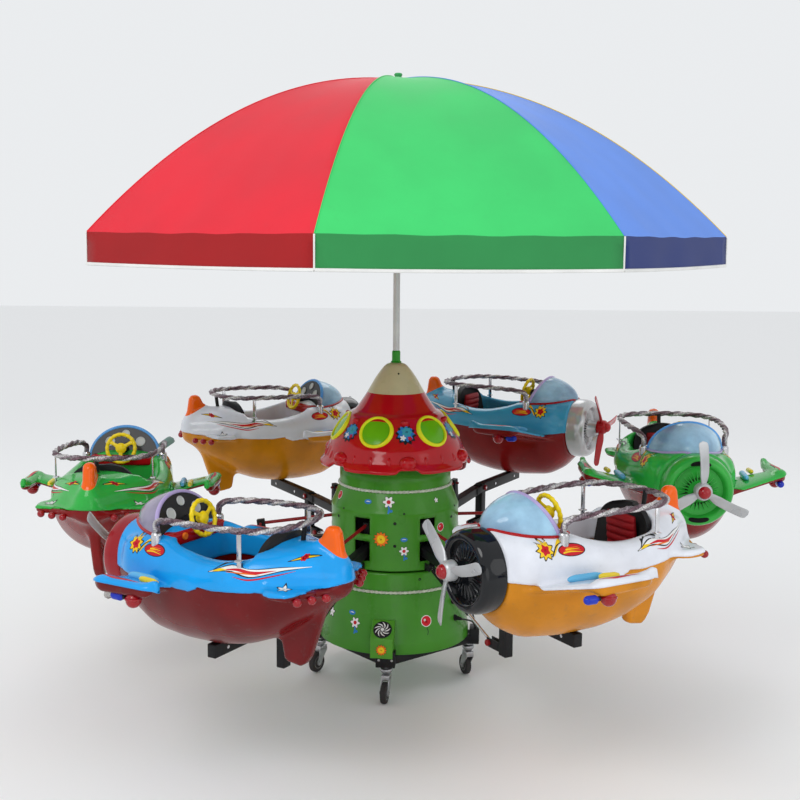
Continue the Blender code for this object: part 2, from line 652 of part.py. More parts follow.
def make_plane_mesh():
    hull = hull_loft()
    scoop_z = RIM_LOW_Z + RIM_SCOOP_RADIUS
    scoop = rod((RIM_SCOOP_X, -0.4, scoop_z), (RIM_SCOOP_X, 0.4, scoop_z), RIM_SCOOP_RADIUS, 40)
    cockpit = side_plate([(COCKPIT_BACK - 0.010, 0.6), (COCKPIT_BACK, SEAT_Z), (SEAT_FRONT, SEAT_Z),
                          (SEAT_FRONT + 0.006, FOOTWELL_Z), (COCKPIT_FRONT - 0.006, FOOTWELL_Z),
                          (COCKPIT_FRONT, 0.6)], 2 * COCKPIT_HALF)
    screen = ball((SCREEN_X, 0.0, SCREEN_Z), SCREEN_SIZE, 16, 8)
    half_space = box((-0.5, -0.4, 0.0), (SCREEN_X, 0.4, 1.0))
    screen_half = bpy.data.objects.new("screen", fused([screen], [half_space]))
    WORKSHOP.objects.link(screen_half)
    fin = side_plate([(-0.335, 0.412), (-0.385, 0.432), (-0.445, 0.452), (-0.487, 0.508), (-0.505, 0.520),
                      (-0.530, 0.517), (-0.548, 0.490), (-0.587, 0.330), (-0.500, 0.300),
                      (-0.350, 0.330)], 0.044)
    keel = side_plate([(-0.200, 0.100), (-0.255, 0.020), (-0.300, -0.010), (-0.345, -0.034),
                       (-0.375, -0.042), (-0.410, -0.020), (-0.445, 0.060), (-0.500, 0.200),
                       (-0.540, 0.300), (-0.400, 0.290), (-0.335, 0.205), (-0.250, 0.190)], 0.050)
    half_tail = [(-0.335, 0.140), (-0.360, 0.235), (-0.420, 0.262), (-0.500, 0.255), (-0.535, 0.190),
                 (-0.575, 0.060)]
    tail = outline_plate(half_tail + [(x, -y) for x, y in reversed(half_tail)], 0.032)
    tail = moved(tail, Matrix.Translation((0.0, 0.0, 0.288)))
    additions = [screen_half, fin, keel, tail]
    for side in (-1, 1):
        wing = outline_plate([(0.050, 0.0), (0.105, 0.250), (0.265, 0.250), (0.325, 0.0)], 0.034)
        rise = Matrix.Rotation(math.radians(14.0), 4, "X")
        mirror = Matrix.Diagonal((1.0, side, 1.0, 1.0))
        wing = moved(wing, mirror @ Matrix.Translation((0.0, 0.200, WING_Z - 0.052)) @ rise)
        if side < 0:
            wing.data.flip_normals()
        pod = turned([(0.0, 0.165), (0.028, 0.150), (0.038, 0.110), (0.034, 0.020), (0.020, -0.120),
                      (0.0, -0.160)], 8)
        pod = moved(pod, Matrix.Translation((0.105, side * POD_Y, WING_Z + 0.008))
                    @ Matrix.Rotation(math.radians(90.0), 4, "Y"))
        foot_x, foot_y, foot_z = RING_FEET
        post_x, post_y, post_z = SIDE_POSTS
        feet = [rod((foot_x, side * foot_y, foot_z - 0.07), (foot_x, side * foot_y, foot_z), 0.019, 6),
                rod((post_x, side * post_y, post_z - 0.08), (post_x, side * post_y, post_z), 0.014, 6)]
        additions += [wing, pod] + feet
    back_x, back_y, back_z = BACK_POST
    additions.append(rod((back_x, back_y, back_z - 0.04), (back_x, back_y, back_z), 0.014, 6))
    additions.append(rod((0.48, 0.0, HUB_Z), (HUB_BACK - GAP, 0.0, HUB_Z), 0.030, 8))
    centre, axis = Vector(WHEEL_CENTRE), column_axis()
    additions.append(rod(centre + axis * 0.12, centre + axis * COLUMN_START, 0.020, 6))
    return fused([hull], [cockpit, scoop], additions)


def make_ring_mesh():
    """Safety hoop round the cockpit: a bent tube on two front feet and three posts."""
    foot_x, foot_y, foot_z = RING_FEET
    half = [(foot_x, foot_y, foot_z + 0.012), (foot_x - 0.006, foot_y + 0.004, foot_z + 0.036),
            (0.115, 0.208, RING_Z - 0.012), (0.0, 0.228, RING_Z - 0.004), (-0.150, 0.236, RING_Z),
            (-0.270, 0.218, RING_Z + 0.001), (-0.355, 0.150, RING_Z + 0.001)]
    knots = half + [(-0.388, 0.0, RING_Z + 0.001)] + [(x, -y, z) for x, y, z in reversed(half)]
    start = Vector((foot_x, foot_y, foot_z + GAP))
    end = Vector((foot_x, -foot_y, foot_z + GAP))
    hoop = tube([start, *smooth_run(knots, 22), end], RING_TUBE, 1)
    posts = []
    for x, y, z in (SIDE_POSTS, (SIDE_POSTS[0], -SIDE_POSTS[1], SIDE_POSTS[2]), BACK_POST):
        posts.append(rod((x, y, z + GAP), (x, y, RING_Z), 0.008, 6))
    return fused([hoop] + posts)


def make_propeller_mesh():
    """Three blades on a hub; the origin is on the shaft, at the hub's back face."""
    depth = HUB_FRONT - HUB_BACK
    hub = rod((0.0, 0.0, 0.0), (depth, 0.0, 0.0), 0.040, 12, 0.036)
    cap = ball((depth, 0.0, 0.0), (0.024, 0.029, 0.029), 8, 6)
    blades = []
    for number in range(3):
        blade = standing_plate([(-0.016, 0.020), (-0.026, 0.125), (-0.026, 0.190), (-0.016, 0.216),
                                (0.0, BLADE_REACH), (0.016, 0.216), (0.026, 0.190), (0.026, 0.125),
                                (0.016, 0.020)], 0.010)
        pitch = Matrix.Rotation(math.radians(18.0), 4, "Z")
        spin = Matrix.Rotation(math.radians(120.0 * number), 4, "X")
        middle = Matrix.Translation((depth * 0.5, 0.0, 0.0))
        blades.append(moved(blade, spin @ middle @ pitch))
    return fused([hub, cap] + blades)


def make_steering_mesh():
    """A three-spoked wheel; the origin is at its centre and +X points along the column to the dash."""
    bm = bmesh.new()
    loops = 14
    sides = 4
    rings = []
    for number in range(loops):
        turn = 2.0 * math.pi * number / loops
        ring = []
        for side in range(sides):
            roll = 2.0 * math.pi * side / sides
            reach = WHEEL_RIM + WHEEL_TUBE * math.cos(roll)
            ring.append(bm.verts.new((WHEEL_TUBE * math.sin(roll), reach * math.cos(turn),
                                      reach * math.sin(turn))))
        rings.append(ring)
    for number in range(loops):
        ring, following = rings[number], rings[(number + 1) % loops]
        for side in range(sides):
            after = (side + 1) % sides
            bm.faces.new((ring[side], following[side], following[after], ring[after]))
    rim = shape_from(bm)
    hub = rod((-0.012, 0.0, 0.0), (COLUMN_START - GAP, 0.0, 0.0), 0.020, 8)
    spokes = []
    for number in range(3):
        spoke = box((-0.005, -0.009, 0.0), (0.005, 0.009, WHEEL_RIM))
        spokes.append(moved(spoke, Matrix.Rotation(math.radians(60.0 + 120.0 * number), 4, "X")))
    return fused([rim, hub] + spokes)


def make_arm_mesh():
    """Lifting arm: box tube, fork cheeks at the carrier's pin, and the pull rod on its two brackets."""
    half = ARM_TUBE / 2
    beam = box((-half, -0.030, -half), (half, ARM_LENGTH - 0.060, half))
    inner = box((-0.015, -0.014, 0.0), (0.015, 0.014, ROD_ABOVE_ARM + 0.014))
    outer = box((-0.014, ROD_REACH - 0.020, 0.0), (0.014, ROD_REACH + 0.018, ROD_ABOVE_ARM + 0.020))
    pull = rod((0.0, 0.0, ROD_ABOVE_ARM), (0.0, ROD_REACH, ROD_ABOVE_ARM), ROD_RADIUS, 6)
    parts = [beam, inner, outer, pull]
    cheek = POST_WIDTH / 2 + GAP
    for side in (-1, 1):
        near, far = sorted((side * cheek, side * (cheek + PLATE)))
        parts.append(box((near, ARM_LENGTH - 0.090, -0.018), (far, ARM_LENGTH + 0.020, 0.018)))
        start = side * (cheek + PLATE * 0.5)
        parts.append(rod((start, ARM_LENGTH, 0.0), (side * (cheek + PLATE + 0.010), ARM_LENGTH, 0.0),
                         0.014, 8))
    return fused(parts)


def make_carrier_mesh():
    """Post, belly beam and foot bracket; the origin is on the pin through the post's top."""
    half = POST_WIDTH / 2
    beam = box((-half, -POST_HALF, BEAM_TOP - BEAM_DEPTH), (half, BEAM_REACH, BEAM_TOP - GAP))
    post = box((-half, -POST_HALF, POST_FOOT), (half, POST_HALF, BEAM_TOP - 0.020))
    parts = [beam, post]
    inner = EYE_HALF + GAP
    for side in (-1, 1):
        near, far = sorted((side * inner, side * (inner + PLATE)))
        parts.append(box((near, FOOT_EYE_Y - 0.016, FOOT_EYE_Z - 0.020),
                         (far, 0.0, FOOT_EYE_Z + 0.020)))
        start = side * (inner + PLATE * 0.5)
        end = side * (inner + PLATE + 0.012)
        parts.append(rod((start, FOOT_EYE_Y, FOOT_EYE_Z), (end, FOOT_EYE_Y, FOOT_EYE_Z), 0.014, 8))
    return fused(parts)


def make_strut_mesh():
    """Sliding strut; the origin is on its pivot and it runs along +Y."""
    return fused([
        rod((-EYE_HALF, 0.0, 0.0), (EYE_HALF, 0.0, 0.0), EYE_RADIUS, 8),
        rod((0.0, 0.004, 0.0), (0.0, 0.034, 0.0), STRUT_ROD_RADIUS, 6),
        rod((0.0, 0.026, 0.0), (0.0, STRUT_BARREL_REACH, 0.0), STRUT_BARREL_RADIUS, 8),
        rod((0.0, STRUT_BARREL_REACH - 0.01, 0.0), (0.0, STRUT_ROD_REACH, 0.0), STRUT_ROD_RADIUS, 6),
    ])


def arm_rise(lift):
    """Angle of an arm above the level when its plane has the given lift."""
    return math.asin((CARRIER_PIN_Z + lift - ARM_PIVOT_Z) / ARM_LENGTH)


def make_rides():
    """Six arms, struts, carriers and planes, each at its own place on the lifting wave."""
    plane_mesh = make_plane_mesh()
    ring_mesh = make_ring_mesh()
    propeller_mesh = make_propeller_mesh()
    steering_mesh = make_steering_mesh()
    arm_mesh = make_arm_mesh()
    carrier_mesh = make_carrier_mesh()
    strut_mesh = make_strut_mesh()
    for number, seat in enumerate(SEATS):
        angle = FIRST_SEAT_ANGLE + SEAT_STEP * number
        lift = LIFT_WAVE * math.cos(math.radians(angle - LIFT_CREST_ANGLE))
        turn = around(angle)
        rise = arm_rise(lift)
        pin_r = ARM_PIVOT_R + ARM_LENGTH * math.cos(rise)
        pin_z = CARRIER_PIN_Z + lift
        arm_place = turn @ Matrix.Translation((0, ARM_PIVOT_R, ARM_PIVOT_Z)) @ Matrix.Rotation(rise, 4, "X")
        carrier_place = turn @ Matrix.Translation((0, pin_r, pin_z))
        plane_place = carrier_place @ Matrix.Translation((0, PLANE_Y, BEAM_TOP))
        foot = (pin_r + FOOT_EYE_Y - STRUT_PIVOT_R, pin_z + FOOT_EYE_Z - STRUT_PIVOT_Z)
        lean = math.atan2(foot[1], foot[0])
        strut_place = (turn @ Matrix.Translation((0, STRUT_PIVOT_R, STRUT_PIVOT_Z))
                       @ Matrix.Rotation(lean, 4, "X"))
        hub_place = plane_place @ Matrix.Translation((HUB_BACK, 0, HUB_Z))
        hub_place = hub_place @ Matrix.Rotation(math.radians(BLADE_TURNS[number]), 4, "X")
        column = plane_place @ Matrix.Translation(WHEEL_CENTRE)
        column = column @ Matrix.Rotation(math.radians(WHEEL_TILT), 4, "Y")
        place("lift_arm_" + seat, arm_mesh, "black_paint", arm_place)
        place("strut_" + seat, strut_mesh, "black_paint", strut_place)
        place("carrier_" + seat, carrier_mesh, "black_paint", carrier_place)
        place("plane_" + seat, plane_mesh, SHELL_HUES[number], plane_place)
        place("safety_ring_" + seat, ring_mesh, "rope_wrap", plane_place)
        place("propeller_" + seat, propeller_mesh, BLADE_HUES[number], hub_place)
        place("steering_wheel_" + seat, steering_mesh, "wheel_yellow", column)


clear_scene()
MODEL = collection("aeroplane_roundabout")
WORKSHOP = collection("workshop")
make_base()
make_frame()
make_control_box()
make_leads()
make_casters()
make_upper_drum()
make_cap()
make_umbrella_frame()
make_canopy()
make_rides()
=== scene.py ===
# Looks of the umbrella aeroplane roundabout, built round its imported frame
import math

import bmesh
import bpy
import numpy as np
from mathutils import Matrix, Vector
from mathutils.bvhtree import BVHTree


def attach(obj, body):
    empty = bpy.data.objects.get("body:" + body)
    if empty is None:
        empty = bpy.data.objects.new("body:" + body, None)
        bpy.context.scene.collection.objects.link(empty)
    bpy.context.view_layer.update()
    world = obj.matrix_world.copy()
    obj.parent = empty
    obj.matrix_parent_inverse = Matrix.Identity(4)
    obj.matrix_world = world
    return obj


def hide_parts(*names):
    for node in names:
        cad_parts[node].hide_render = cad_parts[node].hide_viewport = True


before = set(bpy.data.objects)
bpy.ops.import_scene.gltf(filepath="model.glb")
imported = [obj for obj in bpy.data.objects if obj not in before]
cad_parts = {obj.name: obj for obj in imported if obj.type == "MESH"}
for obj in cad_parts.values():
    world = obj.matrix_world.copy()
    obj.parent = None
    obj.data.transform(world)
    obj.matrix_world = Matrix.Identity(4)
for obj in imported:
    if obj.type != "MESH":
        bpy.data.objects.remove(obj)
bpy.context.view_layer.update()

gap = 0.0003

# The same places as in the part's source: seats by angle from -Y towards +X, on a lifting wave
seats = {"angles": {"front_right": 30.0, "right": 90.0, "back_right": 150.0,
                    "back_left": 210.0, "left": 270.0, "front_left": 330.0},
         "wave": 0.112, "crest": 150.0, "planeOut": 0.400, "planeUp": 0.025,
         "bladeTurns": {"front_right": 47.0, "right": 3.0, "back_right": 36.0,
                        "back_left": 60.0, "left": 50.0, "front_left": -45.0}}
arm = {"pivotR": 0.235, "pivotZ": 0.690, "length": 0.715, "pinZ": 0.655, "tube": 0.045,
       "rodUp": 0.115, "rodReach": 0.405, "rodRadius": 0.008}


def seatLift(angle):
    return seats["wave"] * math.cos(math.radians(angle - seats["crest"]))


def armRise(angle):
    return math.asin((arm["pinZ"] + seatLift(angle) - arm["pivotZ"]) / arm["length"])


def turnedTo(angle):
    return Matrix.Rotation(math.radians(angle + 180.0), 4, "Z")


def carrierPlace(angle):
    reach = arm["pivotR"] + arm["length"] * math.cos(armRise(angle))
    return turnedTo(angle) @ Matrix.Translation((0, reach, arm["pinZ"] + seatLift(angle)))


def planePlace(angle):
    return carrierPlace(angle) @ Matrix.Translation((0, seats["planeOut"], seats["planeUp"]))


def armPlace(angle):
    pivot = Matrix.Translation((0, arm["pivotR"], arm["pivotZ"]))
    return turnedTo(angle) @ pivot @ Matrix.Rotation(armRise(angle), 4, "X")


# Camera and light

def addCamera():
    # Fitted to the photograph: focal length 1200 px of an 800 px wide frame
    data = bpy.data.cameras.new("camera")
    data.lens = 54.0
    data.sensor_width = 36.0
    camera = bpy.data.objects.new("camera", data)
    bpy.context.scene.collection.objects.link(camera)
    yaw, pitch, roll = -0.20, -7.78, 0.46
    look = Matrix.Rotation(math.radians(yaw), 4, "Z") @ Matrix.Rotation(math.radians(90.0 + pitch), 4, "X")
    camera.matrix_world = (Matrix.Translation((0.0, -5.70, 2.14)) @ look
                           @ Matrix.Rotation(math.radians(roll), 4, "Z"))
    bpy.context.scene.camera = camera


# Each light's place, size and power
studio = {"key": ((-2.6, -4.6, 5.2), 2.6, 95.0), "fill": ((4.4, -4.0, 2.4), 3.4, 30.0),
          "front": ((0.3, -6.4, 1.2), 2.6, 14.0), "back": ((0.5, 4.8, 4.6), 3.0, 40.0)}
backdrop = {"sky": (0.96, 0.98, 1.0, 1.0), "strength": 0.86, "floor": (0.90, 0.90, 0.90, 1.0), "floorHalf": 30.0}


def addStudio():
    for name, (place, size, power) in studio.items():
        data = bpy.data.lights.new(name, "AREA")
        data.shape = "DISK"
        data.size = size
        data.energy = power
        light = bpy.data.objects.new(name, data)
        bpy.context.scene.collection.objects.link(light)
        light.location = place
        light.rotation_euler = (Vector((0, 0, 0.9)) - Vector(place)).to_track_quat("-Z", "Y").to_euler()
    world = bpy.data.worlds.new("studio")
    world.use_nodes = True
    sky = world.node_tree.nodes["Background"]
    sky.inputs["Color"].default_value = backdrop["sky"]
    sky.inputs["Strength"].default_value = backdrop["strength"]
    bpy.context.scene.world = world
    bpy.context.scene.view_settings.view_transform = "Standard"
    mesh = bpy.data.meshes.new("floor")
    wide = backdrop["floorHalf"]
    mesh.from_pydata([(-wide, -wide, 0), (wide, -wide, 0), (wide, wide, 0), (-wide, wide, 0)], [],
                     [(0, 1, 2, 3)])
    floor = bpy.data.objects.new("floor", mesh)
    floor.location = (0.0, 0.0, -0.0005)
    bpy.context.scene.collection.objects.link(floor)
    pale = bpy.data.materials.new("floor")
    pale.use_nodes = True
    shader = pale.node_tree.nodes["Principled BSDF"]
    shader.inputs["Base Color"].default_value = backdrop["floor"]
    shader.inputs["Roughness"].default_value = 0.9
    mesh.materials.append(pale)


# Materials. Patterns run on object coordinates, or on the "local" attribute of a plane's own metres

dirt = (0.09, 0.08, 0.07)
coatShare = 0.45                # how much of the listed coats is applied


def withNode(tree, kind, values, vector=None):
    # A node with its sockets' values set by name, fed by a vector
    node = tree.nodes.new("ShaderNode" + kind)
    for socket, value in values.items():
        node.inputs[socket].default_value = value
    if vector is not None:
        tree.links.new(vector, node.inputs["Vector"])
    return node


def mapped(tree, source, values):
    node = withNode(tree, "MapRange", values)
    tree.links.new(source, node.inputs["Value"])
    return node.outputs["Result"]


def relief(tree, height, strength, distance):
    node = withNode(tree, "Bump", {"Strength": strength, "Distance": distance})
    tree.links.new(height, node.inputs["Height"])
    tree.links.new(node.outputs["Normal"], tree.nodes["Principled BSDF"].inputs["Normal"])


def mixed(tree, factor, first, colour):
    mixer = tree.nodes.new("ShaderNodeMix")
    mixer.data_type = "RGBA"
    mixer.inputs[7].default_value = (*colour, 1.0)
    tree.links.new(factor, mixer.inputs[0])
    tree.links.new(first, mixer.inputs[6])
    return mixer.outputs[2]


def paint(name, colour, rough=0.4, metal=0.0, coat=0.0, clear=0.0, bump=0.0, bumpScale=60.0,
          mottle=0.06, mottleScale=7.0, scuff=0.0, band=None, sheen=0.0, shine=0.18):
    # colour = base x (1 +- mottle x noise), roughness follows the same noise, scuffs darken it;
    # band = (axis weights, limit, second colour), which shows where axis . local passes the limit
    made = bpy.data.materials.new(name)
    made.use_nodes = True
    tree = made.node_tree
    link = tree.links.new
    shader = tree.nodes["Principled BSDF"]
    for socket, value in (("Metallic", metal), ("Specular IOR Level", shine), ("Coat Weight", coatShare * coat),
                          ("Coat Roughness", 0.06), ("Transmission Weight", clear), ("Sheen Weight", sheen)):
        shader.inputs[socket].default_value = value
    where = tree.nodes.new("ShaderNodeTexCoord").outputs["Object"]
    cloud = withNode(tree, "TexNoise", {"Scale": mottleScale, "Detail": 5.0}, where).outputs["Fac"]
    ramp = tree.nodes.new("ShaderNodeValToRGB")
    for element, shift, stop in zip(ramp.color_ramp.elements, (1.0 - mottle, 1.0 + mottle), (0.36, 0.64)):
        element.position = stop
        element.color = (*[min(1.0, c * shift) for c in colour], 1.0)
    link(cloud, ramp.inputs["Fac"])
    last = ramp.outputs["Color"]
    if band:
        weights, limit, other = band
        local = tree.nodes.new("ShaderNodeAttribute")
        local.attribute_name = "local"
        along = tree.nodes.new("ShaderNodeVectorMath")
        along.operation = "DOT_PRODUCT"
        along.inputs[1].default_value = weights
        link(local.outputs["Vector"], along.inputs[0])
        step = mapped(tree, along.outputs["Value"], {"From Min": limit - 0.0008, "From Max": limit + 0.0008})
        last = mixed(tree, step, last, other)
    if scuff:
        worn = withNode(tree, "TexNoise", {"Scale": 26.0, "Detail": 9.0, "Roughness": 0.72}, where)
        mask = mapped(tree, worn.outputs["Fac"], {"From Min": 0.57, "From Max": 0.74, "To Max": scuff})
        last = mixed(tree, mask, last, dirt)
    link(last, shader.inputs["Base Color"])
    gloss = mapped(tree, cloud, {"To Min": max(0.03, rough * 0.8), "To Max": min(1.0, rough * 1.25)})
    link(gloss, shader.inputs["Roughness"])
    if bump:
        grain = withNode(tree, "TexNoise", {"Scale": bumpScale, "Detail": 3.0}, where)
        relief(tree, grain.outputs["Fac"], bump, 0.002)
    made.diffuse_color = (*colour, 1.0)
    return made


def weave(name, colour):
    # Coated cloth: two crossed sine waves on the panel's own UVs, 1.2 mm apart, over soft cloudy stains
    made = paint(name, colour, rough=0.6, mottle=0.05, mottleScale=3.0, sheen=0.08, scuff=0.06)
    tree = made.node_tree
    uv = tree.nodes.new("ShaderNodeUVMap")
    uv.uv_map = "panel"
    heights = []
    for direction in ("X", "Y"):
        wave = withNode(tree, "TexWave", {"Scale": 130.0}, uv.outputs["UV"])
        wave.bands_direction = direction
        heights.append(wave.outputs["Fac"])
    both = tree.nodes.new("ShaderNodeMath")
    both.operation = "MULTIPLY"
    for height, socket in zip(heights, both.inputs):
        tree.links.new(height, socket)
    relief(tree, both.outputs["Value"], 0.25, 0.0006)
    return made


orangeTip = ((-0.5, 0.0, 1.0), 0.690, (0.86, 0.120, 0.004))     # the fin's tip, by the plane's own x and z
shellLook = {"rough": 0.15, "coat": 0.5, "bump": 0.05, "bumpScale": 7.0, "scuff": 0.10, "band": orangeTip}
bellyLook = {"rough": 0.24, "coat": 0.3, "bump": 0.06, "bumpScale": 10.0, "mottle": 0.12, "scuff": 0.3}
looks = {
    "drumGreen": ((0.052, 0.240, 0.018), {"rough": 0.28, "coat": 0.3, "bump": 0.06, "bumpScale": 9.0, "scuff": 0.2}),
    "boxGreen": ((0.080, 0.300, 0.026), {"rough": 0.30, "coat": 0.3, "scuff": 0.2}),
    "capRed": ((0.480, 0.006, 0.011), {"rough": 0.12, "coat": 0.6, "bump": 0.05, "bumpScale": 10.0}),
    "capCream": ((0.590, 0.520, 0.310), {"rough": 0.28, "coat": 0.3, "bump": 0.04, "scuff": 0.15}),
    "lipWhite": ((0.620, 0.590, 0.580), {"rough": 0.4, "scuff": 0.3}),
    "ringYellow": ((0.790, 0.800, 0.015), {"rough": 0.24, "coat": 0.3}),
    "lensGreen": ((0.150, 0.520, 0.008), {"rough": 0.2, "coat": 0.4, "clear": 0.1, "bump": 0.3, "bumpScale": 170.0}),
    "socketGreen": ((0.030, 0.300, 0.020), {"rough": 0.35, "coat": 0.2}),
    "blackPaint": ((0.011, 0.011, 0.012), {"rough": 0.4, "bump": 0.1, "bumpScale": 90.0, "mottle": 0.25,
                                           "scuff": 0.2}),
    # Near-black finish that stands for painted shade in holes, grooves, slots and the drum's hollow inside
    "paintedShadeBlack": ((0.006, 0.006, 0.006), {"rough": 0.8, "mottle": 0.3}),
    "rodRed": ((0.240, 0.009, 0.011), {"rough": 0.34, "coat": 0.2, "scuff": 0.3}),
    "chrome": ((0.620, 0.620, 0.640), {"rough": 0.22, "metal": 1.0, "mottle": 0.12}),
    "zinc": ((0.430, 0.430, 0.440), {"rough": 0.36, "metal": 0.9, "mottle": 0.2, "scuff": 0.4}),
    "tyre": ((0.032, 0.029, 0.029), {"rough": 0.65, "mottle": 0.3, "scuff": 0.3, "bump": 0.2, "bumpScale": 200.0}),
    "hubGrey": ((0.210, 0.200, 0.200), {"rough": 0.5, "mottle": 0.2}),
    "poleGrey": ((0.600, 0.600, 0.580), {"rough": 0.35, "metal": 0.2, "mottle": 0.08}),
    "leadBlack": ((0.009, 0.009, 0.010), {"rough": 0.45}),
    "lightRope": ((0.600, 0.640, 0.520), {"rough": 0.2, "coat": 0.4, "clear": 0.2, "mottle": 0.2,
                                          "mottleScale": 90.0}),
    "lampRed": ((0.340, 0.004, 0.010), {"rough": 0.08, "coat": 1.2, "clear": 0.1}),
    "podBlue": ((0.010, 0.030, 0.430), {"rough": 0.14, "coat": 0.6}),
    "missileSky": ((0.120, 0.440, 0.720), {"rough": 0.2, "coat": 0.4}),
    "missileYellow": ((0.820, 0.620, 0.040), {"rough": 0.2, "coat": 0.4}),
    "dashRed": ((0.380, 0.006, 0.008), {"rough": 0.2, "coat": 0.4}),
    "dashBlack": ((0.014, 0.014, 0.016), {"rough": 0.3, "coat": 0.2, "bump": 0.1, "bumpScale": 150.0}),
    "dialPale": ((0.500, 0.520, 0.520), {"rough": 0.3}),
    "steerYellow": ((0.870, 0.650, 0.010), {"rough": 0.22, "coat": 0.4}),
    "seatBlack": ((0.017, 0.017, 0.018), {"rough": 0.55, "bump": 0.5, "bumpScale": 260.0}),
    "seatRed": ((0.250, 0.006, 0.010), {"rough": 0.5, "bump": 0.5, "bumpScale": 240.0, "mottle": 0.12}),
    "paneBlue": ((0.340, 0.560, 0.820), {"rough": 0.10, "coat": 0.6, "clear": 0.15, "mottle": 0.40,
                                         "mottleScale": 5.0}),
    "paneLilac": ((0.330, 0.300, 0.420), {"rough": 0.14, "coat": 0.6, "clear": 0.25, "mottle": 0.3,
                                          "mottleScale": 5.0}),
    "hoopLilac": ((0.440, 0.360, 0.640), {"rough": 0.2, "coat": 0.4}),
    "hoopBlue": ((0.090, 0.330, 0.740), {"rough": 0.2, "coat": 0.4}),
    "bladeSilver": ((0.460, 0.470, 0.480), {"rough": 0.28, "metal": 0.35, "coat": 0.2, "mottle": 0.12}),
    "bladeRed": ((0.420, 0.008, 0.013), {"rough": 0.2, "coat": 0.5}),
    "bladeClear": ((0.640, 0.640, 0.620), {"rough": 0.2, "coat": 0.3, "clear": 0.55}),
    "bladeTeal": ((0.300, 0.400, 0.400), {"rough": 0.25, "coat": 0.3}),
    "cowlBlack": ((0.007, 0.008, 0.010), {"rough": 0.08, "coat": 0.7}),
    "cowlSilver": ((0.540, 0.550, 0.560), {"rough": 0.18, "metal": 0.4, "coat": 0.5}),
    "cowlGreen": ((0.030, 0.370, 0.045), {"rough": 0.18, "coat": 0.5}),
    "cowlRed": ((0.300, 0.006, 0.012), {"rough": 0.18, "coat": 0.5}),
    "stickerWhite": ((0.820, 0.820, 0.800), {"rough": 0.35}),
    "stickerYellow": ((0.860, 0.560, 0.015), {"rough": 0.35}),
    "stickerOrange": ((0.800, 0.170, 0.012), {"rough": 0.35}),
    "stickerBlue": ((0.026, 0.190, 0.540), {"rough": 0.35}),
    "stickerRed": ((0.560, 0.010, 0.020), {"rough": 0.35}),
    "stickerBlack": ((0.014, 0.014, 0.018), {"rough": 0.35}),
    "stickerTeal": ((0.050, 0.330, 0.420), {"rough": 0.35}),
    "shellWhite": ((0.720, 0.740, 0.800), shellLook), "shellGreen": ((0.030, 0.420, 0.060), shellLook),
    "shellSky": ((0.055, 0.330, 0.540), shellLook), "shellBlue": ((0.010, 0.330, 0.800), shellLook),
    "bellyOrange": ((0.580, 0.215, 0.006), bellyLook), "bellyRed": ((0.215, 0.006, 0.006), bellyLook),
    "bellyDark": ((0.140, 0.003, 0.004), bellyLook),
    "pipingWhite": ((0.760, 0.760, 0.740), {"rough": 0.6}),
    "knobGreen": ((0.060, 0.360, 0.120), {"rough": 0.4}),
    "tinselPale": ((0.520, 0.500, 0.500), {"rough": 0.3, "metal": 0.5, "mottle": 0.5, "mottleScale": 160.0,
                                           "bump": 0.9, "bumpScale": 420.0}),
    "tinselMauve": ((0.150, 0.090, 0.110), {"rough": 0.35, "metal": 0.5, "mottle": 0.6, "mottleScale": 170.0,
                                            "bump": 0.9, "bumpScale": 420.0}),
    "tinselGrey": ((0.230, 0.190, 0.210), {"rough": 0.35, "metal": 0.5, "mottle": 0.6, "mottleScale": 150.0,
                                           "bump": 0.9, "bumpScale": 420.0}),
}
finishes = {}


def finish(name):
    if name not in finishes:
        colour, settings = looks[name]
        finishes[name] = paint(name, colour, **settings)
    return finishes[name]


# Meshes

def applied(matrix, verts):
    turn = np.array(matrix)
    return np.asarray(verts, float) @ turn[:3, :3].T + turn[:3, 3]


def joined(parts):
    # Parts are (points, faces) or (points, faces, mark); the marks become material indices
    points, faces, marks, count = [], [], [], 0
    for verts, polys, *mark in parts:
        faces += [tuple(index + count for index in poly) for poly in polys]
        marks += [mark[0] if mark else 0] * len(polys)
        points.append(np.asarray(verts, float).reshape(-1, 3))
        count += len(points[-1])
    return np.concatenate(points), faces, marks


def addPiece(name, parts, materials, body, replaces=(), place=None, smooth=True, outward=True, local=None,
             sharp=32.0, slot=None):
    verts, faces, marks = joined(parts)
    local = verts if local is None else local
    if place is not None:
        verts = applied(place, verts)
    mesh = bpy.data.meshes.new(name)
    mesh.from_pydata(verts.tolist(), [], faces)
    mesh.attributes.new("local", "FLOAT_VECTOR", "POINT").data.foreach_set(
        "vector", np.asarray(local, np.float32).ravel())
    for material in materials:
        mesh.materials.append(finish(material) if isinstance(material, str) else material)
    mesh.polygons.foreach_set("material_index", np.array(marks, np.int32))
    if outward:
        bm = bmesh.new()
        bm.from_mesh(mesh)
        bmesh.ops.recalc_face_normals(bm, faces=bm.faces)
        bm.to_mesh(mesh)
        bm.free()
    mesh.polygons.foreach_set("use_smooth", np.full(len(mesh.polygons), smooth))
    if smooth and sharp < 180.0:
        mesh.set_sharp_from_angle(angle=math.radians(sharp))
    piece = bpy.data.objects.new(name, mesh)
    bpy.context.scene.collection.objects.link(piece)
    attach(piece, body)
    if replaces:
        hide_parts(*replaces)
    return piece


def gridFaces(rows, columns, loopRows=False, loopColumns=False):
    # Quads between a grid's neighbouring points, rows by columns in row order
    row = np.arange(rows if loopRows else rows - 1)[:, None]
    column = np.arange(columns if loopColumns else columns - 1)[None, :]
    after, beside = (row + 1) % rows, (column + 1) % columns
    quads = np.stack([row * columns + column, row * columns + beside,
                      after * columns + beside, after * columns + column], -1)
    return quads.reshape(-1, 4).tolist()


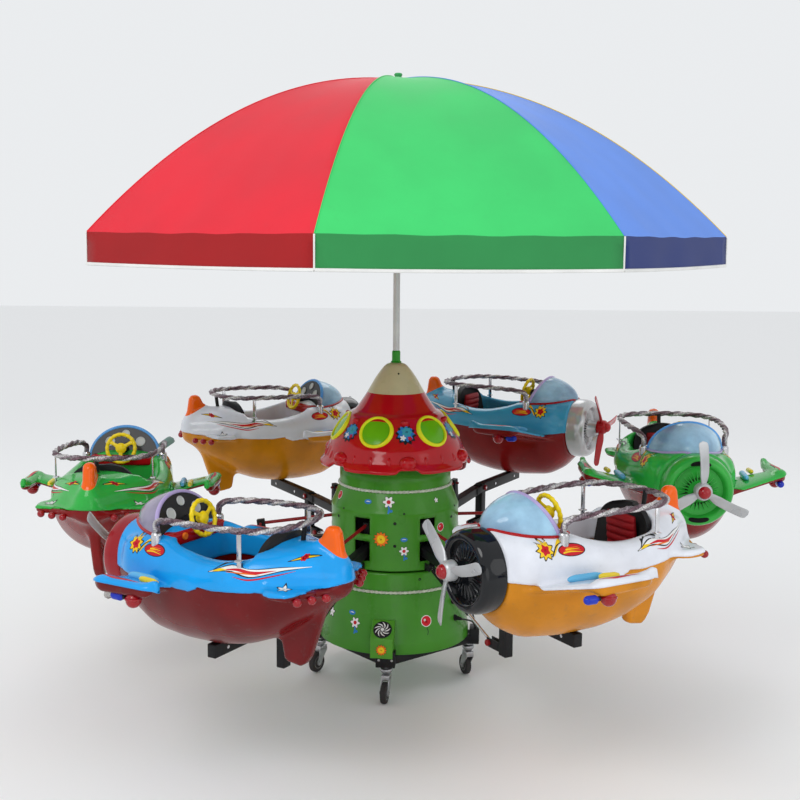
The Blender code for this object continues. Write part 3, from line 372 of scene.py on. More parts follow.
def revolved(profile, steps=64, axis="Z"):
    # (radius, height) turned about the axis: x = r cos t, y = r sin t, z = h; its ends close in a point
    profile = np.asarray(profile, float)
    turn = np.linspace(0.0, 2.0 * math.pi, steps, endpoint=False)
    radius, height = profile[:, :1], profile[:, 1:]
    ring = np.stack([radius * np.cos(turn), radius * np.sin(turn), height + 0.0 * turn], -1).reshape(-1, 3)
    count = len(profile)
    faces = gridFaces(count, steps, loopColumns=True)
    tips = []
    for row in (0, count - 1):
        if profile[row, 0] > 1e-6:
            tips.append((row, len(ring) + len(tips)))
    for row, tip in tips:
        faces += [(row * steps + s, row * steps + (s + 1) % steps, tip) for s in range(steps)]
    verts = np.concatenate([ring] + [np.array([[0.0, 0.0, profile[row, 1]]]) for row, tip in tips])
    if profile[0, 0] <= 1e-6 or profile[-1, 0] <= 1e-6:
        verts, faces = welded(verts, faces)
    if axis == "X":
        verts = verts[:, [2, 0, 1]]
    return verts, faces


def welded(verts, faces, near=1e-6):
    bm = bmesh.new()
    mesh = bpy.data.meshes.new("weld")
    mesh.from_pydata(np.asarray(verts).tolist(), [], faces)
    bm.from_mesh(mesh)
    bmesh.ops.remove_doubles(bm, verts=bm.verts, dist=near)
    bpy.data.meshes.remove(mesh)
    return fromBmesh(bm)


def fromBmesh(bm):
    bm.verts.index_update()
    verts = np.array([v.co[:] for v in bm.verts])
    faces = [tuple(v.index for v in f.verts) for f in bm.faces]
    bm.free()
    return verts, faces


def softened(profile, radius=0.004, steps=3):
    # Corners of a profile rounded by short quadratic arcs
    points = [np.asarray(p, float) for p in profile]
    made = [points[0]]
    for before, here, after in zip(points, points[1:], points[2:]):
        back, ahead = before - here, after - here
        reach = min(radius, 0.45 * np.linalg.norm(back), 0.45 * np.linalg.norm(ahead))
        start = here + back / np.linalg.norm(back) * reach
        end = here + ahead / np.linalg.norm(ahead) * reach
        for t in np.linspace(0.0, 1.0, steps + 1):
            made.append((1 - t) ** 2 * start + 2 * t * (1 - t) * here + t * t * end)
    return np.array(made + [points[-1]])


def swept(path, radius, sides=12, closed=False, ripple=None, squash=1.0):
    # Circle of the radius carried along the path on frames that turn as little as possible;
    # ripple(angle, length) scales it
    path = np.asarray(path, float)
    around = np.roll(path, -1, 0) - np.roll(path, 1, 0) if closed else np.gradient(path, axis=0)
    tangent = around / np.linalg.norm(around, axis=1)[:, None]
    up = np.array([0.0, 0.0, 1.0]) if abs(tangent[0][2]) < 0.9 else np.array([1.0, 0.0, 0.0])
    sideways, upwards = [], []
    for direction in tangent:
        side = np.cross(direction, up)
        side /= np.linalg.norm(side)
        up = np.cross(side, direction)
        sideways.append(side)
        upwards.append(up)
    turn = np.linspace(0.0, 2.0 * math.pi, sides, endpoint=False)[None, :]
    length = np.concatenate([[0.0], np.cumsum(np.linalg.norm(np.diff(path, axis=0), axis=1))])[:, None]
    size = np.broadcast_to(np.asarray(radius, float), (len(path),))[:, None] + 0.0 * turn
    if ripple is not None:
        size = size * ripple(turn, length)
    ring = (np.array(sideways)[:, None, :] * np.cos(turn)[..., None]
            + np.array(upwards)[:, None, :] * np.sin(turn)[..., None] * squash)
    verts = (path[:, None, :] + ring * size[..., None]).reshape(-1, 3)
    faces = gridFaces(len(path), sides, loopRows=closed, loopColumns=True)
    if not closed:
        last = len(verts)
        verts = np.concatenate([verts, path[:1], path[-1:]])
        for step in range(sides):
            after = (step + 1) % sides
            faces += [(after, step, last), (last - sides + step, last - sides + after, last + 1)]
    return verts, faces


def bar(start, end, radius, sides=20, endRadius=None):
    # Round bar with small chamfers at its ends
    start, end = np.asarray(start, float), np.asarray(end, float)
    long = np.linalg.norm(end - start)
    chamfer = min(0.15 * radius, 0.3 * long)
    shares = np.array([0.0, chamfer / long, 1.0 - chamfer / long, 1.0])[:, None]
    last = radius if endRadius is None else endRadius
    sizes = radius + (last - radius) * shares[:, 0] - np.array([chamfer, 0, 0, chamfer])
    return swept(start + (end - start) * shares, sizes, sides)


def block(low, high, bevel=0.003, segments=2):
    bm = bmesh.new()
    bmesh.ops.create_cube(bm, size=1.0)
    bmesh.ops.scale(bm, vec=[b - a for a, b in zip(low, high)], verts=bm.verts)
    bmesh.ops.translate(bm, vec=[(a + b) / 2 for a, b in zip(low, high)], verts=bm.verts)
    bmesh.ops.bevel(bm, geom=bm.edges[:], offset=bevel, segments=segments, affect="EDGES", profile=0.5)
    return fromBmesh(bm)


def ellipsoid(centre, radii, around=28, rings=16):
    bm = bmesh.new()
    bmesh.ops.create_uvsphere(bm, u_segments=around, v_segments=rings, radius=1.0)
    bmesh.ops.scale(bm, vec=radii, verts=bm.verts)
    bmesh.ops.translate(bm, vec=centre, verts=bm.verts)
    return fromBmesh(bm)


def moved(matrix, part):
    return (applied(matrix, part[0]), *part[1:])


def marked(part, mark):
    return (part[0], part[1], mark)


def smoothRun(knots, count):
    # Catmull-Rom curve through the knots
    knots = np.asarray(knots, float)
    ends = np.concatenate([[2 * knots[0] - knots[1]], knots, [2 * knots[-1] - knots[-2]]])
    place = np.linspace(0.0, len(knots) - 1, count)
    span = np.minimum(place.astype(int), len(knots) - 2)
    t = (place - span)[:, None]
    a, b, c, d = (ends[span + k] for k in range(4))
    return 0.5 * (2 * b + (c - a) * t + (2 * a - 5 * b + 4 * c - d) * t * t + (3 * b - a - 3 * c + d) * t ** 3)


addCamera()
addStudio()
print("camera and light ready")


# Leads: two short black cords from their glands to the frame's right corner, on the source's route

base = {"top": 0.592, "topRadius": 0.310, "bottomRadius": 0.365, "frameTop": 0.220}
leads = {"angle": 57.0, "heights": {"upper": 0.425, "lower": 0.345}, "gland": 0.022, "radius": 0.004,
         "endAngles": {"upper": 88.0, "lower": 80.0}, "endR": 0.400, "blockTop": 0.252}


def onDrum(angle, radius, height):
    turn = math.radians(angle)
    return np.array([radius * math.sin(turn), -radius * math.cos(turn), height])


def ringRadius(height):
    share = (base["top"] - height) / (base["top"] - base["frameTop"])
    return base["topRadius"] + share * (base["bottomRadius"] - base["topRadius"])


def makeLeads():
    for name, height in leads["heights"].items():
        out = ringRadius(height) + leads["gland"]
        start = onDrum(leads["angle"], out + gap, height)
        straight = onDrum(leads["angle"], out + 0.012, height)
        end = onDrum(leads["endAngles"][name], leads["endR"], leads["blockTop"] + gap)
        above = end + np.array([0.0, 0.0, 0.012])
        middle = (straight + above) / 2 + onDrum(leads["angle"], 0.016, 0.010)
        route = np.concatenate([[start], smoothRun([straight, middle, above], 24), [end]])
        lead = addPiece("lead-" + name, [swept(route, leads["radius"], 12)], ["leadBlack"], "base",
                        replaces=["lead_" + name])
        sleeve = addPiece("gland-sleeve-" + name, [revolved(softened([
            (0.0085, 0.0), (0.0085, 0.004), (0.0070, 0.009), (0.0055, 0.011)], 0.001), 24)], ["leadBlack"], "base",
            place=glandPlace(height))


def glandPlace(height):
    out = onDrum(leads["angle"], ringRadius(height) + leads["gland"], height)
    aim = Vector(onDrum(leads["angle"], 1.0, 0.0)).to_track_quat("Z", "X").to_matrix().to_4x4()
    return Matrix.Translation(Vector(out)) @ aim


makeLeads()
print("leads ready")


# Fixed base: flared drum, light rope, glands, control box, frame and casters

def lightRope(radius, height, size=0.0065):
    # Torus whose tube swells along a helix, 1 + 0.18 cos(2 t - 2 pi beads s), like beads in a clear rope
    turn = np.linspace(0.0, 2.0 * math.pi, 360, endpoint=False)
    path = np.stack([radius * np.cos(turn), radius * np.sin(turn), height + 0.0 * turn], -1)
    beads = 14.5 / radius
    return swept(path, size, 10, closed=True,
                 ripple=lambda t, s: 1.0 + 0.18 * np.cos(2 * t - 2 * math.pi * s * beads))


def boltRing(heights, radiusAt, angles, size=0.0075):
    # Domed bolt heads that stand 3 mm proud of the drum
    heads = []
    for angle in angles:
        for height in heights:
            aim = Vector(onDrum(angle, 1.0, 0.0)).to_track_quat("Z", "X").to_matrix().to_4x4()
            seat = Matrix.Translation(Vector(onDrum(angle, radiusAt(height) - 0.001, height)))
            head = revolved([(size, 0.0), (size, 0.0012), (size * 0.75, 0.003), (size * 0.35, 0.0032),
                             (size * 0.3, 0.0018), (0.0, 0.0018)], 16)
            heads.append(moved(seat @ aim, head))
    return heads


def makeBase():
    skirt = softened([(0.25, 0.5997), (0.25, 0.592), (0.304, 0.592), (0.310, 0.584), (ringRadius(0.40) - 0.006, 0.40),
                      (0.361, 0.27), (0.365, 0.2203), (0.02, 0.2203)], 0.004)
    addPiece("base-drum-shell", [revolved(skirt, 144)], ["drumGreen"], "base", replaces=["base_drum"])
    addPiece("base-light-rope", [lightRope(ringRadius(0.505) + 0.0015, 0.505)], ["lightRope"], "base",
             slot="drum_green")
    glands = []
    nut = [(0.013, -0.012), (0.013, 0.007), (0.0105, 0.009), (0.0105, 0.019), (0.0085, 0.022)]
    washer = [(0.0150, -0.010), (0.0150, 0.0025), (0.0120, 0.0030)]
    for height in leads["heights"].values():
        place = glandPlace(height) @ Matrix.Translation((0, 0, -leads["gland"]))
        glands.append(moved(place, revolved(softened(nut, 0.001), 6)))
        glands.append(moved(place, revolved(softened(washer, 0.001), 24)))
    addPiece("cord-glands", glands, ["leadBlack"], "base", sharp=40.0, slot="lead_black")
    addPiece("base-bolts", boltRing((0.560, 0.250), lambda z: ringRadius(z) - (0.003 if z > 0.5 else 0.002),
                                    range(22, 382, 60)), ["blackPaint"], "base", slot="drum_green")


def makeFrame():
    # Bevelled box tube, four bars between corner blocks; it keeps the solid's own outline
    side = 0.415 / math.sqrt(2)
    turn = Matrix.Rotation(math.radians(-5.5 + 45.0), 4, "Z")
    bars = []
    for number in range(4):
        quarter = turn @ Matrix.Rotation(math.radians(90.0 * number), 4, "Z")
        bars.append(moved(quarter, block((side - 0.040, -side, 0.180), (side, side, 0.220), 0.003)))
        diagonal = quarter @ Matrix.Rotation(math.radians(45.0), 4, "Z")
        bars.append(moved(diagonal, block((0.371, -0.045, 0.177), (0.418, 0.045, 0.252), 0.003)))
        bars.append(moved(diagonal, block((0.316, -0.045, 0.177), (0.376, 0.045, 0.219), 0.003)))
        for across in (-0.030, 0.030):
            head = revolved([(0.008, 0.0), (0.008, 0.003), (0.005, 0.005), (0.0, 0.005)], 6)
            aim = Matrix.Translation((0.418, across, 0.213)) @ Matrix.Rotation(math.radians(90.0), 4, "Y")
            bars.append(moved(diagonal @ aim, marked(moved(Matrix.Translation((0, 0, -0.004)), head), 1)))
    addPiece("corner-frame", bars, ["blackPaint", "zinc"], "base", replaces=["base_frame"])


controlBox = {"angle": -8.0, "half": 0.0525, "front": 0.420, "top": 0.380, "topR": 0.345, "lip": 0.312,
              "bottom": 0.2203}


def makeControlBox():
    c = controlBox
    turn = turnedTo(c["angle"])
    outline = np.array([(0.300, c["bottom"]), (c["front"], c["bottom"]), (c["front"], c["lip"]),
                        (c["topR"], c["top"]), (0.300, c["top"])])
    bm = bmesh.new()
    rings = [[bm.verts.new((x, y, z)) for y, z in outline] for x in (-c["half"], c["half"])]
    bm.faces.new(rings[0])
    bm.faces.new(rings[1][::-1])
    for k in range(5):
        bm.faces.new((rings[0][k], rings[1][k], rings[1][(k + 1) % 5], rings[0][(k + 1) % 5]))
    bmesh.ops.bevel(bm, geom=bm.edges[:], offset=0.004, segments=3, affect="EDGES", profile=0.5)
    addPiece("control-box-shell", [fromBmesh(bm)], ["boxGreen"], "base", replaces=["control_box"], place=turn)
    middle = Matrix.Translation((0, (c["front"] + c["topR"]) / 2, (c["top"] + c["lip"]) / 2))
    normal = Vector((0, c["top"] - c["lip"], c["front"] - c["topR"])).normalized()
    aim = normal.to_track_quat("Z", "Y").to_matrix().to_4x4()
    face = turn @ middle @ aim
    plate = revolved(softened([(0.043, 0.0), (0.043, 0.0035), (0.040, 0.0045), (0.0, 0.0045)], 0.001), 64)
    curls, turns = [], 9
    reach = np.linspace(0.010, 0.0375, 12)[:, None]
    share = (reach - reach[0]) / (reach[-1] - reach[0])
    wide = 0.30 * np.sin(np.pi * (0.12 + 0.88 * share)) ** 0.8 + 0.02
    for number in range(turns):
        # A curl is a ribbon whose angle grows with its radius: a = 2 pi n / 9 + 0.95 share
        bend = 2 * math.pi * number / turns + 0.95 * share
        angle = bend + wide * np.linspace(-0.5, 0.5, 5)[None, :]
        verts = np.stack([reach * np.cos(angle), reach * np.sin(angle),
                          0.0052 + 0.0010 * np.cos(np.pi * (angle - bend) / wide)], -1)
        curls.append((verts.reshape(-1, 3), gridFaces(12, 5), 1))
    hub = revolved(softened([(0.008, 0.0045), (0.008, 0.0065), (0.0, 0.0070)], 0.001), 24)
    addPiece("fan-guard", [plate] + curls + [marked(hub, 1)], ["stickerBlack", "stickerWhite"], "base", place=face,
             slot="black_paint")


casters = {"radius": 0.365, "trail": 0.032, "wheel": 0.050, "half": 0.015,
           "turns": {"front": 168.0, "right": 20.0, "back": 200.0, "left": 145.0}, "first": -5.5}


def makeCasters():
    c = casters
    top, half = 0.1767, c["half"]
    for number, (label, turn) in enumerate(c["turns"].items()):
        stem = Vector(onDrum(c["first"] + 90.0 * number, c["radius"], 0.0))
        swivel = Matrix.Translation(stem) @ Matrix.Rotation(math.radians(turn), 4, "Z")
        fork = [revolved(softened([(0.012, top), (0.012, top - 0.016), (0.027, top - 0.018), (0.029, top - 0.026),
                                   (0.026, top - 0.035), (0.012, 0.128)], 0.002), 32),
                block((-half - 0.0045, -0.028, 0.104), (half + 0.0045, 0.028, 0.130), 0.004)]
        for side in (-1, 1):
            # Leaning cheek: its edge narrows from the crown to the axle
            rows = np.linspace(0.0, 1.0, 12)[:, None]
            drop = 0.114 - rows * 0.079
            lean = c["trail"] * np.clip((0.106 - drop) / 0.056, 0.0, 1.0)
            wide = 0.027 - 0.012 * np.sin(rows * math.pi / 2) ** 2
            wide = wide * np.sqrt(np.clip(1.0 - np.clip((rows - 0.84) / 0.165, 0.0, 1.0) ** 2, 0.02, 1.0))
            y = lean + wide * np.linspace(-1.0, 1.0, 7)[None, :]
            grids = []
            for x in (side * (half + gap), side * (half + 0.0045)):
                grids.append(np.stack([x + 0 * y, y, drop + 0 * y], -1).reshape(-1, 3))
            fork.append(plateOf(grids[0], grids[1], 12, 7))
        addPiece("fork-" + label, fork, ["zinc"], "swivel_" + label, replaces=["caster_fork_" + label], place=swivel)
        axle = swivel @ Matrix.Translation((0, c["trail"], c["wheel"])) @ Matrix.Rotation(math.pi / 2, 4, "Y")
        tread = revolved(softened([(0.030, -half + 0.002), (0.044, -half + 0.001), (0.0488, -half + 0.005),
                                   (0.0500, 0.0), (0.0488, half - 0.005), (0.044, half - 0.001),
                                   (0.030, half - 0.002)], 0.002), 64)
        rim = revolved(softened([(0.031, -half + 0.004), (0.031, -half + 0.0012), (0.024, -half + 0.003),
                                 (0.016, -half + 0.003), (0.015, -half), (0.007, -half), (0.007, half),
                                 (0.015, half), (0.016, half - 0.003), (0.024, half - 0.003),
                                 (0.031, half - 0.0012), (0.031, half - 0.004)], 0.001), 48)
        nut = revolved([(0.0075, -half - 0.009), (0.0085, -half - 0.008), (0.0085, half + 0.008),
                        (0.0075, half + 0.009)], 6)
        addPiece("wheel-" + label, [tread, marked(rim, 1)], ["tyre", "hubGrey"], "wheel_" + label,
                 replaces=["caster_wheel_" + label], place=axle)
        addPiece("axle-bolt-" + label, [nut], ["zinc"], "swivel_" + label, place=axle, slot="caster_steel")


def plateOf(first, second, rows, columns):
    # Two grids joined round their edge into a closed plate
    count = rows * columns
    faces = gridFaces(rows, columns)
    faces = faces + [tuple(index + count for index in face[::-1]) for face in faces]
    edge = ([k for k in range(columns)] + [r * columns + columns - 1 for r in range(1, rows)]
            + [(rows - 1) * columns + k for k in range(columns - 2, -1, -1)]
            + [r * columns for r in range(rows - 2, 0, -1)])
    for here, after in zip(edge, edge[1:] + edge[:1]):
        faces.append((after, here, here + count, after + count))
    return np.concatenate([first, second]), faces


makeBase()
makeFrame()
makeControlBox()
makeCasters()
print("base ready")


# Turning drum: a shell with two windows for each arm, a near-black core as painted shade inside, the lugs and the
# light rope

drum = {"radius": 0.307, "bottom": 0.600, "shoulder": 0.872, "neckBase": 0.945, "neck": 0.267, "neckTop": 1.100,
        "wall": 0.012, "core": 0.190, "windows": ((0.6425, 0.7375), (0.768, 0.846)), "windowHalf": 0.042}


def drumRadius(height):
    return np.interp(height, [drum["bottom"], drum["shoulder"], drum["neckBase"], drum["neckTop"]],
                     [drum["radius"], drum["radius"], drum["neck"], drum["neck"]])


def makeUpperDrum():
    half = math.degrees(math.asin(drum["windowHalf"] / drum["radius"]))
    stops = []
    for angle in seats["angles"].values():
        stops += list(np.linspace(angle - half, angle + half, 9))
        stops += list(np.linspace(angle + half, angle + 60 - half, 17))[1:-1]
    stops = np.radians(np.array(stops))
    heights = [0.600, 0.604, 0.6425, 0.7375, 0.768, 0.846, 0.862, 0.868, 0.872, 0.877, 0.885, 0.946, 0.954, 0.959,
               0.964, 0.971, 1.000, 1.066]
    smoothRadius = [0.3035, 0.307, 0.307, 0.307, 0.307, 0.307, 0.307, 0.3066, 0.3052, 0.3028, 0.2995, 0.2752,
                    0.2714, 0.2688, 0.2676, 0.267, 0.267, 0.267]
    z = np.array(heights)[:, None]
    r = np.array(smoothRadius)[:, None]
    verts = np.stack([r * np.sin(stops), -r * np.cos(stops), z + 0 * stops], -1).reshape(-1, 3)
    columns = len(stops)
    faces = gridFaces(len(heights), columns, loopColumns=True)
    centres = np.array([verts[list(face)].mean(0) for face in faces])
    keep = np.ones(len(faces), bool)
    angleOf = np.degrees(np.arctan2(centres[:, 0], -centres[:, 1])) % 360
    for angle in seats["angles"].values():
        beside = np.abs((angleOf - angle + 180) % 360 - 180) < half
        for low, high in drum["windows"]:
            keep &= ~(beside & (centres[:, 2] > low) & (centres[:, 2] < high))
    shell = addPiece("turning-drum-shell", [(verts, [f for f, k in zip(faces, keep) if k])], ["drumGreen"],
                     "turntable", replaces=["upper_drum"])
    wall = shell.modifiers.new("wall", "SOLIDIFY")
    wall.thickness = drum["wall"]
    wall.offset = -1.0
    wall.use_even_offset = True
    # The core, floor and ceiling inside the shell are near-black: painted shade seen through the windows
    inner = [revolved([(drum["core"], 0.8635), (drum["core"], 0.614)], 48),
             revolved(softened([(0.14, 0.6005), (0.294, 0.6005), (0.294, 0.614), (0.14, 0.614)], 0.001), 72),
             revolved([(0.14, 0.864), (0.2945, 0.864), (0.2945, 0.869), (0.14, 0.869)], 72)]
    addPiece("drive-core", inner, ["paintedShadeBlack"], "turntable", slot="black_paint")
    lugs = []
    for angle in seats["angles"].values():
        turn = turnedTo(angle)
        for side in (-1, 1):
            near, far = sorted((side * 0.0228, side * 0.0318))
            lugs.append(moved(turn, block((near, 0.170, 0.666), (far, 0.261, 0.714), 0.002)))
            near, far = sorted((side * 0.0103, side * 0.0163))
            lugs.append(moved(turn, block((near, 0.299, 0.601), (far, 0.350, 0.635), 0.002)))
        lugs.append(moved(turn, bar((-0.020, 0.335, 0.619), (0.020, 0.335, 0.619), 0.005, 12)))
    addPiece("arm-lugs", lugs, ["blackPaint"], "turntable", slot="black_paint")
    addPiece("neck-light-rope", [lightRope(0.2690, 0.967)], ["lightRope"], "turntable", slot="drum_green")
    holes = boltRing((0.722, 0.828), drumRadius, range(0, 360, 60))
    holes += boltRing((0.872,), lambda z: 0.3045, range(8, 368, 60), 0.0055)
    addPiece("drum-bolts", holes, ["blackPaint"], "turntable", slot="drum_green")


# Mushroom cap: glossy red skirt with lobes, cream tip, ringed lamps

cap = {"lobes": 6, "lobeAngle": 10.0, "lamps": -20.0, "notch": (8.0, 0.7)}


def makeCap():
    profile = softened([(0.0, 1.543), (0.018, 1.5425), (0.034, 1.540), (0.052, 1.531), (0.072, 1.507), (0.098, 1.470),
                        (0.136, 1.4035)], 0.010, 4)
    # The tip, with a small near-black disc on it: painted shade standing for a hole
    addPiece("cap-cream-tip", [revolved(np.concatenate([profile, [(0.128, 1.400), (0.05, 1.400)]]), 96),
                               marked(moved(Matrix.Translation((0.012, -0.0790, 1.497)) @ Matrix.Rotation(
                                   math.radians(52.0), 4, "X"), revolved([(0.0045, -0.002), (0.0045, 0.0006),
                                                                         (0.0, 0.0006)], 16)), 1)],
             ["capCream", "paintedShadeBlack"], "turntable", slot="cap_red")
    # Red skirt: radius(height), pushed in and lifted near the rim by a notch under each big bump,
    # 1 / (1 + e^((angle - half) / soft)), and by shallow waves between them
    knots = np.array([(0.1345, 1.4040), (0.1370, 1.4020), (0.158, 1.370), (0.178, 1.341), (0.195, 1.320),
                      (0.208, 1.313), (0.224, 1.304), (0.236, 1.290), (0.262, 1.250), (0.290, 1.208), (0.314, 1.170),
                      (0.328, 1.135), (0.340, 1.105), (0.352, 1.088), (0.361, 1.078), (0.364, 1.070),
                      (0.362, 1.0625), (0.355, 1.0622), (0.348, 1.0655), (0.338, 1.076), (0.320, 1.0815),
                      (0.268, 1.0815)])
    steps = 288
    turn = np.linspace(0, 2 * math.pi, steps, endpoint=False)[None, :]
    compass = np.degrees(np.arctan2(np.cos(turn), -np.sin(turn)))
    rows = smoothRun(knots[:14], 60)
    rows = np.concatenate([rows, smoothRun(knots[13:], 26)[1:]])
    radius, height = rows[:, :1], rows[:, 1:]
    low = np.clip((1.150 - height) / 0.085, 0.0, 1.0) ** 1.5 * (np.arange(len(rows))[:, None] < 68)
    under = (np.arange(len(rows))[:, None] >= 68) * np.clip((radius - 0.300) / 0.060, 0, 1)
    wave = np.cos(np.radians((compass - cap["lobeAngle"]) * cap["lobes"]))
    ripple = np.cos(np.radians((compass - cap["lobeAngle"]) * cap["lobes"] * 3))
    off = np.abs((compass - cap["lobeAngle"] + 30.0) % 60.0 - 30.0)
    half, soft = cap["notch"]
    notch = 1.0 / (1.0 + np.exp((off - half) / soft))
    push = (low + under) * (-0.0010 - 0.0008 * wave - 0.0110 * notch)
    lift = (low + under) * (0.0030 - 0.0010 * ripple + 0.0180 * notch)
    x = (radius + push) * np.cos(turn)
    y = (radius + push) * np.sin(turn)
    verts = np.stack([x, y, height + lift], -1).reshape(-1, 3)
    faces = gridFaces(len(rows), steps, loopColumns=True)
    lowSide = (np.arange(len(faces)) // steps) >= 70
    addPiece("cap-skirt", [(verts, [f for f, k in zip(faces, lowSide) if not k]),
                           (verts, [f for f, k in zip(faces, lowSide) if k], 1)], ["capRed", "lipWhite"],
             "turntable", replaces=["mushroom_cap"], sharp=180.0)
    bumps = []
    for number in range(cap["lobes"]):
        angle = cap["lobeAngle"] + 60.0 * number
        turnTo = turnedTo(angle)
        lean = Matrix.Translation((0, 0.3300, 1.112)) @ Matrix.Rotation(math.radians(-28.0), 4, "X")
        bumps.append(moved(turnTo @ lean, ellipsoid((0, 0, 0), (0.042, 0.032, 0.034), 32, 20)))
        lean = Matrix.Translation((0, 0.238, 1.280)) @ Matrix.Rotation(math.radians(-50.0), 4, "X")
        bumps.append(moved(turnTo @ lean, ellipsoid((0, 0, 0), (0.020, 0.014, 0.024), 24, 14)))
        for aside in (-30.0, -15.0, 15.0):
            lean = Matrix.Translation((0, 0.330, 1.118)) @ Matrix.Rotation(math.radians(22.0), 4, "X")
            bumps.append(moved(turnedTo(angle + aside) @ lean, ellipsoid((0, 0, 0), (0.011, 0.010, 0.024), 20, 12)))
    addPiece("cap-bumps", bumps, ["capRed"], "turntable", slot="cap_red")
    rings, lenses = [], []
    for number in range(cap["lobes"]):
        face = Matrix.Translation((0, 0.257, 1.240)) @ Matrix.Rotation(math.radians(35.0 - 90.0), 4, "X")
        place = turnedTo(cap["lamps"] + 60.0 * number) @ face
        rings.append(moved(place, revolved(softened([(0.083, -0.040), (0.083, 0.004), (0.080, 0.012), (0.077, 0.0155),
                                                     (0.070, 0.0165), (0.067, 0.013), (0.065, 0.004)], 0.004), 72)))
        dome = np.linspace(0.0, 1.0, 14)
        lens = np.stack([0.0675 * dome, 0.0170 - 0.0090 * dome ** 2], -1)
        lenses.append(moved(place, revolved(np.concatenate([lens, [(0.0675, 0.002)]]), 64)))
    addPiece("lamp-rings", rings, ["ringYellow"], "turntable", slot="cap_red")
    addPiece("lamp-lenses", lenses, ["lensGreen"], "turntable", slot="cap_red")


makeUpperDrum()
makeCap()
print("drum and cap ready")


# Umbrella: eight stretched cloth panels with a valance, on a pole with ribs and stretchers

umbrella = {"radius": 1.500, "rim": 2.148, "apex": 2.858, "curve": 2.15, "valance": 0.130, "first": -56.1,
            "cloth": 0.005, "ribArc": 1.70, "runner": 2.140,
            "colours": {"clothRed": (0.720, 0.018, 0.036), "clothGreen": (0.050, 0.600, 0.150),
                        "clothBlue": (0.110, 0.270, 0.800), "clothYellow": (0.860, 0.560, 0.030),
                        # The hem colours are the cloth colours darkened: painted shade on the hanging valance
                        "shadedHemRed": (0.340, 0.010, 0.012), "shadedHemGreen": (0.030, 0.250, 0.070),
                        "shadedHemBlue": (0.018, 0.035, 0.165), "shadedHemYellow": (0.560, 0.330, 0.020)}}


def canopyHeight(radius):
    # apex - rise (r / R) ^ curve
    rise = umbrella["apex"] - umbrella["rim"]
    return umbrella["apex"] - rise * (radius / umbrella["radius"]) ** umbrella["curve"]


